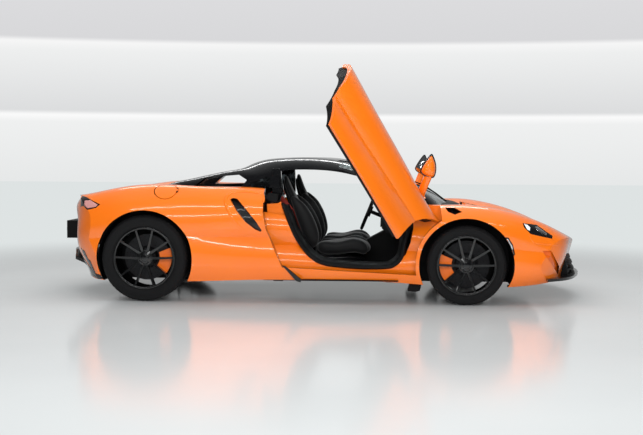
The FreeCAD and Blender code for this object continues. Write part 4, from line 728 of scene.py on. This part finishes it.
SHELL_TOP_RUN = [
    (-136, 560, 212, 30), (-176, 700, 190, 28), (-212, 820, 128, 24), (-246, 920, 84, 20),
    (-262, 1000, 76, 16),
]
# The two backs are set at slightly different angles, as the photograph shows them.
LEAN_BACK = {"right": -34, "left": 14}
LEAN_FROM, LEAN_OVER = 430, 600
STITCH_OFFSETS = {"in": -60, "out": 60}
STITCH_RADIUS, STITCH_LIFT = 1 * MM, 0.5
BELT_PATH = [(-372, 570, 905), (-300, 560, 850), (-180, 535, 700), (-95, 560, 560), (-60, 590, 430)]
BELT_SECTION = bar_section(46, 2.4, 0.8)


def pad_grid(run, middle, sides=48, rows=40, power=3.2, seam=SEAM_MM):
    """Superellipse sections |y/w|^p + |n/t|^p = 1 set square to the run, with a seam round the edge.

    The sections close towards both ends by the square root of 1 - s^8, where s runs from -1 to 1.
    """
    run = smooth_path(np.asarray(run, float) * MM, rows)
    ahead = np.gradient(run[:, :2], axis=0)
    ahead /= np.linalg.norm(ahead, axis=1, keepdims=True)
    normal = np.stack([-ahead[:, 1], ahead[:, 0]], 1)
    angle = np.linspace(0, 2 * math.pi, sides, endpoint=False)
    c, s = np.cos(angle), np.sin(angle)
    across = np.sign(c) * np.abs(c) ** (2 / power)
    out = np.sign(s) * np.abs(s) ** (2 / power)
    from_seam = (np.abs(angle[None, :] - math.pi / 2) - SEAM_ANGLE) / SEAM_WIDTH
    groove = 1 - seam * MM / SEAM_REACH * np.exp(-from_seam ** 2) * SEAM_SHARE
    end = np.linspace(-1, 1, rows)
    closing = np.sqrt(np.clip(1 - np.abs(end) ** END_POWER, LEAST_CLOSING, 1))[:, None]
    y = middle + across[None, :] * run[:, 2:3] * closing * groove
    n = out[None, :] * run[:, 3:4] / 2 * closing * groove
    return np.stack([run[:, 0:1] + normal[:, 0:1] * n, y, run[:, 1:2] + normal[:, 1:2] * n], 2)


def leant(run, lean):
    """A side-view run tipped back by lean millimetres over the height of the back."""
    return [(x + lean * (z - LEAN_FROM) / LEAN_OVER, z, half, deep) for x, z, half, deep in run]


def seat(side_name):
    """Cushion, back and four bolsters about the seat's middle, padded hide on a hard shell."""
    middle = SIDES[side_name] * SEAT_MIDDLE
    lean = LEAN_BACK[side_name]
    forms = {"cushion": pad_grid(CUSHION_RUN, middle), "back": pad_grid(leant(BACK_RUN, lean), middle)}
    for near, shift in (("inner", -SIDES[side_name]), ("outer", SIDES[side_name])):
        thigh, flank = middle + shift * THIGH_OFFSET, middle + shift * FLANK_OFFSET
        forms[f"thigh_{near}"] = pad_grid(BOLSTER_LOW_RUN, thigh, 32, 32, 2.6)
        forms[f"flank_{near}"] = pad_grid(leant(BOLSTER_HIGH_RUN, lean), flank, 32, 32, 2.6)
    made = []
    for label, grid in forms.items():
        piece = rod(f"seat_{label}_{side_name}", grid, "seat_leather")
        made.append(piece)
    shell_run = SHELL_FOOT_RUN + leant(SHELL_TOP_RUN, lean)
    rod(f"seat_shell_{side_name}", pad_grid(shell_run, middle, power=6, seam=0), "black_gloss")
    for label, channel in STITCH_OFFSETS.items():
        run = [(x, middle / MM + channel, z + deep / 2 + STITCH_LIFT) for x, z, _, deep in CUSHION_RUN[1:-1]]
        line = smooth_path(np.array(run) * MM, 50)
        thread = drawn_along(line, oval_section(STITCH_RADIUS, STITCH_RADIUS, 6), (0, 0, 1))
        rod(f"seat_stitch_{side_name}_{label}", thread, "stitch_thread")
    return made[0]


cushions = [seat(side_name) for side_name in SIDES]
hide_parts("seats")
for side_name, sign in SIDES.items():
    path = smooth_path([(x * MM, sign * y * MM, z * MM) for x, y, z in BELT_PATH], 60)
    rod(f"belt_{side_name}", drawn_along(path, BELT_SECTION, (0, -sign, 0.2)), "belt_webbing")

# %% [markdown]
# A rubber seal runs round each door opening on the jamb's edge, along a path measured in the photograph,
# and a black step falls away from it into the cabin. Outside it come the latch, the pillar's cover, the
# blade in front of the rear quarter, the dark strip under the sill and the flap behind the front wheel.

# %% Door openings
SEAL_RADIUS = 15 * MM
# X, Z and distance out from the car's middle, in millimetres, from the rear top to the front top.
SEAL_PATH = [
    (-258, 812, 784), (-214, 700, 824), (-146, 547, 840), (-57, 416, 840), (24, 350, 862), (84, 326, 866),
    (151, 312, 868), (371, 295, 868), (598, 298, 866), (674, 322, 862), (728, 384, 846), (750, 488, 832),
    (772, 562, 816), (790, 615, 800),
]
OPENING_MIDDLE = np.array([290, 640]) * MM
# The step starts just inside the seal, widens and then drops towards the cabin, in millimetres.
STEP_START, STEP_WIDTH, STEP_WIDTH_POWER = 4, 40, 0.7
STEP_RISE, STEP_DROP, STEP_DROP_POWER = 8, 158, 2.6
STEP_SHEET = 2 * MM
for side_name, sign in SIDES.items():
    path = smooth_path([(x * MM, sign * y * MM, z * MM) for x, z, y in SEAL_PATH], 140)
    seal = drawn_along(path, oval_section(SEAL_RADIUS, SEAL_RADIUS, 12), (0, sign, 0))
    rod(f"door_seal_{side_name}", seal, "seal_rubber")
    towards = OPENING_MIDDLE - path[:, [0, 2]]
    towards /= np.linalg.norm(towards, axis=1, keepdims=True)
    rows = []
    for share in np.linspace(0, 1, 8):
        row = path.copy()
        row[:, [0, 2]] += towards * (STEP_START + STEP_WIDTH * share ** STEP_WIDTH_POWER) * MM
        row[:, 1] += sign * (STEP_RISE - STEP_DROP * share ** STEP_DROP_POWER) * MM
        rows.append(row)
    step = grid_piece(f"sill_step_{side_name}", np.array(rows), "black_trim")
    step.modifiers.new("sheet", "SOLIDIFY").thickness = STEP_SHEET


def slab(name, near_mm, far_mm, finish, outline_mm):
    """A plate cut to an X, Z outline, between two distances out from the car's middle, on both sides."""
    count = len(outline_mm)
    faces = [[i, (i + 1) % count, count + (i + 1) % count, count + i] for i in range(count)]
    faces += [list(range(count))[::-1], list(range(count, 2 * count))]
    for side_name, sign in SIDES.items():
        corners = [(x, sign * out_mm, z) for out_mm in (near_mm, far_mm) for x, z in outline_mm]
        piece = keep(f"{name}_{side_name}", np.array(corners) * MM, faces, finish, smooth=False)
        rounding = piece.modifiers.new("rounding", "BEVEL")
        rounding.width = 3 * MM
        rounding.segments = 2


slab("sill_blade", 880, 938, "black_gloss", [(-250, 313), (-218, 304), (-86, 196), (-95, 173), (-131, 182)])
slab("latch", 800, 838, "black_trim", [(-407, 863), (-366, 900), (-292, 891), (-297, 827), (-338, 818)])
slab("sill_strip", 800, 905, "black_trim", [
    (-131, 182), (-120, 196), (300, 196), (700, 194), (700, 184), (300, 184),
])
slab("pillar_cover", 630, 690, "black_gloss", [
    (-359, 1096), (-285, 1100), (-280, 1000), (-277, 871), (-292, 813), (-333, 796), (-359, 854),
    (-355, 1000),
])
slab("jamb_top", 740, 776, "orange_paint", [
    (-392, 806), (-300, 812), (-276, 826), (-238, 735), (-238, 700), (-385, 700),
])
slab("arch_flap", 660, 800, "black_trim", [(806, 190), (778, 96), (850, 90), (880, 100), (900, 190)])

# %% [markdown]
# Lamps are dark cavities under glass, so most of each is black, with a pale part behind it whose faint
# glow is painted light. The head lamp's bright corner and its chrome blade are plates laid just over the
# lamp's skin. The tail lamp has a pale lens, the front wheel arch a side marker, and the tail's lower
# corner is black.

# %% Lamps, vents and fine lines
# The bright corner glows faintly: painted light.
patch("lamp_bright", "headlamps", 0.6, "lamp_white", [
    (1712, 664), (1738, 657), (1762, 636), (1756, 610), (1736, 620),
])
patch("lamp_blade", "headlamps", 0.8, "bright_chrome", [
    (1800, 640), (1826, 640), (1900, 585), (1890, 574), (1815, 612),
])
# The pale lens glows faintly: painted light.
patch("tail_glow", "tail_lamps", 0.8, "tail_pink", [
    (-1915, 822), (-1860, 826), (-1785, 792), (-1800, 775), (-1868, 762), (-1905, 780),
])
patch("side_marker_frame", "front_body", 0.8, "black_gloss", [
    (1546, 561), (1582, 557), (1619, 497), (1638, 421), (1622, 402), (1599, 465), (1570, 521),
])
patch("side_marker", "front_body", 2.0, "bright_chrome", [
    (1558, 553), (1578, 549), (1611, 493), (1628, 425), (1620, 420), (1602, 472), (1575, 526),
])
patch("bumper_corner", "rear_body", 1.0, "black_gloss", [
    (-2150, 420), (-2090, 410), (-1968, 371), (-1901, 300), (-1824, 225), (-1739, 205), (-1739, 166),
    (-1850, 164), (-1960, 170), (-2130, 300),
])
BEAD_END = 0.06


def bead(name, node, width, height, lift, path_mm):
    """A low rounded fold of painted sheet that stands on a panel along a path, thin at both ends."""
    for side_name, sign in SIDES.items():
        line = smooth_path(path_mm, 60) * MM
        path = np.array([tuple(on_skin(node, x, z, lift * MM, sign)) for x, z in line])
        path[1:-1] = (path[:-2] + path[1:-1] * 2 + path[2:]) / 4
        taper = np.sin(np.linspace(BEAD_END, math.pi - BEAD_END, len(path))) ** 0.5
        grid = drawn_along(path, oval_section(width * MM / 2, height * MM, 14), (0, sign, 0.2))
        grid = path[:, None] + (grid - path[:, None]) * taper[:, None, None]
        rod(f"{name}_{side_name}", grid, "orange_paint")


bead("haunch_fold", "rear_body", 34, 9, -2, [
    (-553, 589), (-643, 686), (-706, 790), (-716, 856), (-672, 896), (-553, 906), (-414, 886), (-323, 856),
])
bead("lamp_ledge", "front_body", 16, 6, -1, [
    (1752, 575), (1783, 524), (1850, 506), (1939, 500), (2004, 494),
])
VENT_SLATS = ((1088, 746), (1130, 752))
SLAT_OUTLINE = ((-40, 32), (-34, 36), (18, -14), (12, -20))
for slat, (x, z) in enumerate(VENT_SLATS):
    outline = [(x + along, z + rise) for along, rise in SLAT_OUTLINE]
    patch(f"vent_slat{slat}", "vents", 12, "black_gloss", outline, thickness_mm=3)

# %% [markdown]
# Each mirror is a leaf-shaped orange shell on a broad stalk, with a black rim that carries the pane. With
# the door up the leaf's tip points to the sky, so its outline is given as it stands there. Rings of the
# outline, grown or shrunk about its middle from one depth to the next, make the dome, the rim and the pane.

# %% Mirrors
LEAF = [
    (956, 1226), (915, 1180), (872, 1110), (868, 1078), (896, 1050), (940, 1036), (976, 1036), (994, 1080),
    (994, 1140), (978, 1195),
]
leaf = smooth_path(np.array(LEAF) * MM, 56, closed=True)
HEART_SHIFT = np.array([6, -14]) * MM
heart = leaf.mean(axis=0) + HEART_SHIFT
# Distance out from the car's middle in millimetres, and the ring's share of the leaf's size.
DOME = [(1058, 0.04), (1057, 0.22), (1052, 0.46), (1042, 0.66), (1026, 0.80), (1008, 0.86), (992, 0.86)]
RIM = [(1004, 0.84), (1006, 0.93), (1000, 1.0), (984, 1.0), (972, 0.95), (970, 0.86)]
PANE = [(974, 0.90), (968, 0.86), (966, 0.04)]
STALK = [(948, 1006, 1076), (930, 990, 1040), (908, 958, 985), (886, 920, 925), (872, 880, 880)]
STALK_SECTION = bar_section(62, 24, 9)
MIRROR_PARTS = {"shell": (DOME, "orange_paint"), "rim": (RIM, "black_gloss"), "pane": (PANE, "bright_chrome")}


def leaf_rings(profile, sign):
    """One ring of the leaf per (distance out, share of size) pair."""
    rings = []
    for out, share in profile:
        ring = heart + (leaf - heart) * share
        rings.append(np.stack([ring[:, 0], np.full(len(ring), sign * out * MM), ring[:, 1]], 1))
    return np.array(rings)


for side_name, sign in SIDES.items():
    body = f"door_{side_name}"
    for label, (profile, finish) in MIRROR_PARTS.items():
        rings = leaf_rings(profile, sign)
        grid_piece(f"mirror_{label}_{side_name}", rings, finish, body, wrap_columns=True)
    stalk = smooth_path(np.array([(x, sign * y, z) for x, y, z in STALK]) * MM, 30)
    rod(f"mirror_arm_{side_name}", drawn_along(stalk, STALK_SECTION, (0, sign, 0)), "orange_paint", body)
    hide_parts(f"mirror_{side_name}")

# %% [markdown]
# Inside, the steering wheel gets its hide rim and the dash a hooded dial pod and a centre screen. Each
# door card gets a long armrest, modelled as the door stands shut and then swung up with it.

# %% Cabin
WHEEL_CENTRE = np.array(record_joints["steering_wheel"]["pos_m"])
WHEEL_AXIS = np.array(record_joints["steering_wheel"]["axis"])
WHEEL_RADIUS = 0.175
GRIP_RADIUS = 16.5 * MM
FLAT_SHARE, FLAT_SPREAD = 0.10, 0.55
side_way = np.array([0.0, 1.0, 0.0])
up_way = np.cross(WHEEL_AXIS, side_way)
up_way *= np.sign(up_way[2])
angle = np.linspace(0, 2 * math.pi, 96, endpoint=False)[:, None]
flat_bottom = 1 - FLAT_SHARE * np.exp(-((angle - 1.5 * math.pi) / FLAT_SPREAD) ** 2)
rim_path = WHEEL_CENTRE + WHEEL_RADIUS * flat_bottom * (np.cos(angle) * side_way + np.sin(angle) * up_way)
rim = drawn_along(rim_path, oval_section(GRIP_RADIUS, GRIP_RADIUS, 14), WHEEL_AXIS, closed=True)
grid_piece("steering_rim", rim, "seat_leather", "steering_wheel", wrap_rows=True, wrap_columns=True)

SCREEN_RUN = [(548, 575, 120, 14), (552, 640, 124, 16), (556, 735, 120, 14)]
POD_RUN = [(530, 720, 150, 70), (560, 778, 160, 80), (620, 822, 150, 60), (700, 836, 120, 40)]
rod("centre_screen", pad_grid(SCREEN_RUN, 0.0, power=9, seam=0), "black_gloss")
rod("dial_pod", pad_grid(POD_RUN, SEAT_MIDDLE, power=4, seam=0), "cabin_black")
ARMREST = [(500, 775, 560), (380, 790, 580), (200, 792, 590), (20, 790, 600), (-120, 785, 620)]
ARMREST_SECTION = bar_section(60, 36, 12)
for side_name, sign in SIDES.items():
    line = smooth_path(np.array([(x, sign * y, z) for x, y, z in ARMREST]) * MM, 40)
    shut = drawn_along(line, ARMREST_SECTION, (0, 0, 1))
    rod(f"armrest_{side_name}", swung(shut, side_name), "seat_leather", f"door_{side_name}")

# %% [markdown]
# A black cowl closes the gap between screen and bonnet, and two wiper arms lie on the glass. The cowl is
# one section swept across the car on an arc, so that it follows the screen's curved foot.

# %% Cowl and wipers
COWL = [(1108, 812), (1150, 818), (1200, 806), (1238, 790), (1238, 778), (1180, 786), (1112, 802)]
COWL_HALF = 0.52
COWL_SWEEP, COWL_FALL = 0.34, 0.05
WIPER_FOOT_X = 1150
WIPER_CAST_Z = 1250
WIPER_LIFT = 12 * MM
WIPERS = {"right": (-60, 800, -420), "left": (420, 790, 40)}
WIPER_SECTION = bar_section(14, 8, 2)
cross = np.linspace(-COWL_HALF, COWL_HALF, 41)[:, None]
section_x, section_z = (np.array(COWL) * MM).T
cowl = np.stack(np.broadcast_arrays(
    section_x[None, :] - COWL_SWEEP * cross ** 2, cross, section_z[None, :] - COWL_FALL * cross ** 2,
), axis=2)
rod("cowl", cowl, "black_trim")
for label, (start_y, end_x, end_y) in WIPERS.items():
    reach = np.linspace(0, 1, 24)
    line = []
    for x, y in zip(WIPER_FOOT_X + (end_x - WIPER_FOOT_X) * reach, start_y + (end_y - start_y) * reach):
        above = Vector((x * MM, y * MM, WIPER_CAST_Z * MM))
        place = skin_of("windscreen").ray_cast(above, Vector((0, 0, -1)))[0]
        if place is not None:
            line.append(tuple(place + Vector((0, 0, WIPER_LIFT))))
    rod(f"wiper_{label}", drawn_along(line, WIPER_SECTION, (0, 0, 1)), "black_trim")

# %% [markdown]
# The showroom is a pale polished floor that fades into the distance, under a wall of soft bands. The
# wall shows to the camera and through glass alone. Paint reflects a dimmer room, so that it keeps its
# colour, and long lamps overhead leave white streaks along the crowned sides. Two broad lamps that
# don't show in the paint fill the wheels and the cabin.

# %% Floor
FLOOR_HALF = 40.0
FADE_FROM, FADE_TO = 3.2, 7.0


def shown(tree):
    """1 for rays that come from the camera, straight or through glass, and 0 for all others."""
    paths = add(tree, "ShaderNodeLightPath").outputs
    both = {0: paths["Is Camera Ray"], 1: paths["Is Transmission Ray"]}
    return add(tree, "ShaderNodeMath", {"operation": "MAXIMUM"}, both).outputs["Value"]


floor_mesh = bpy.data.meshes.new("floor")
floor_corners = [(x * FLOOR_HALF, y * FLOOR_HALF, 0) for x, y in ((-1, -1), (1, -1), (1, 1), (-1, 1))]
floor_mesh.from_pydata(floor_corners, [], [(0, 1, 2, 3)])
floor = bpy.data.objects.new("floor", floor_mesh)
bpy.context.scene.collection.objects.link(floor)
floor_finish, floor_tree, floor_shader = material("pale_floor", Roughness=0.14, IOR=1.45)
tint(floor_tree, floor_shader, noise(floor_tree, 0.9, detail=3.0), "#D6D9DA", "#E0E3E3")
reach = add(floor_tree, "ShaderNodeVectorMath", {"operation": "LENGTH"}, {0: places(floor_tree)})
fade = add(
    floor_tree, "ShaderNodeMapRange",
    {"From Min": FADE_FROM, "From Max": FADE_TO, "interpolation_type": "SMOOTHSTEP"},
    {"Value": reach.outputs["Value"]},
)
seen_fade = {0: fade.outputs["Result"], 1: shown(floor_tree)}
faded = add(floor_tree, "ShaderNodeMath", {"operation": "MULTIPLY"}, seen_fade)
distance = add(floor_tree, "ShaderNodeEmission", {"Color": linear("#DEE3E3"), "Strength": 1.0})
blend = add(floor_tree, "ShaderNodeMixShader", None, {
    "Fac": faded.outputs["Value"], 1: floor_shader.outputs["BSDF"], 2: distance.outputs["Emission"],
})
floor_tree.links.new(blend.outputs["Shader"], floor_tree.nodes["Material Output"].inputs["Surface"])
floor_mesh.materials.append(floor_finish)
print("floor", 2 * FLOOR_HALF, "m wide")

# %% Wall and lamps
WALL_FROM, WALL_TO = -0.1, 0.15
WALL = (
    (0.0, "#EEF1F1"), (0.05, "#E6EAEA"), (0.24, "#DCE2E2"), (0.26, "#E4E6E6"), (0.52, "#EFF0F0"),
    (0.545, "#FBFBFB"), (0.56, "#DCDDDE"), (0.77, "#EEEFEF"), (0.80, "#F6F6F6"), (0.815, "#D8D8DA"),
    (1.0, "#DDDDDF"),
)
ROOM = ((0.0, "#5A5C5E"), (1.0, "#E8EAEA"))
ROOM_STRENGTH = 0.62
world = bpy.data.worlds.new("studio")
bpy.context.scene.world = world
world.use_nodes = True
sky = world.node_tree


def banded(value, stops):
    """A colour ramp over a value, from (place, hex) stops that start at 0 and end at 1."""
    ramp = add(sky, "ShaderNodeValToRGB", None, {"Fac": value})
    ramp.color_ramp.elements[0].color = linear(stops[0][1])
    ramp.color_ramp.elements[1].color = linear(stops[-1][1])
    for place, colour in stops[1:-1]:
        ramp.color_ramp.elements.new(place).color = linear(colour)
    return ramp.outputs["Color"]


direction = add(sky, "ShaderNodeTexCoord").outputs["Generated"]
way = add(sky, "ShaderNodeSeparateXYZ", None, {"Vector": direction}).outputs
rise = add(sky, "ShaderNodeMapRange", {"From Min": WALL_FROM, "From Max": WALL_TO}, {"Value": way["Z"]})
wall = sky.nodes["Background"]
sky.links.new(banded(rise.outputs["Result"], WALL), wall.inputs["Color"])
wall.inputs["Strength"].default_value = 1.0
beyond = banded(spread(sky, way["Y"], 0.0, 1.0), ROOM)
room = add(sky, "ShaderNodeBackground", {"Strength": ROOM_STRENGTH}, {"Color": beyond})
chosen = add(sky, "ShaderNodeMixShader", None, {
    "Fac": shown(sky), 1: room.outputs["Background"], 2: wall.outputs["Background"],
})
sky.links.new(chosen.outputs["Shader"], sky.nodes["World Output"].inputs["Surface"])


def softbox(name, place, aim, size_x, size_y, energy, mirrored):
    """A rectangular lamp at a place, facing an aim point; mirrored says whether it shows in reflections."""
    data = bpy.data.lights.new(name, "AREA")
    data.shape = "RECTANGLE"
    data.size, data.size_y = size_x, size_y
    data.energy = energy
    lamp = bpy.data.objects.new(name, data)
    lamp.location = place
    lamp.rotation_euler = (Vector(aim) - Vector(place)).to_track_quat("-Z", "Y").to_euler()
    lamp.visible_glossy = mirrored
    bpy.context.scene.collection.objects.link(lamp)


softbox("overhead", (0, 0.0, 5.0), (0, 0, 0), 8.0, 5.0, 290, mirrored=False)
softbox("camera_fill", (1.0, -8.5, 2.4), (0, 0, 0.6), 6.0, 3.0, 420, mirrored=False)
softbox("front_strip", (0.2, -4.0, 3.9), (0, -0.6, 0.7), 6.5, 0.16, 40, mirrored=True)
softbox("low_strip", (-0.6, -6.5, 2.6), (0, -0.6, 0.6), 5.0, 0.12, 40, mirrored=True)
softbox("far_strip", (-0.5, 3.2, 4.2), (0, 0, 0.9), 6.0, 0.25, 50, mirrored=True)
print("wall of", len(WALL), "stops and", len(bpy.data.lights), "lamps")
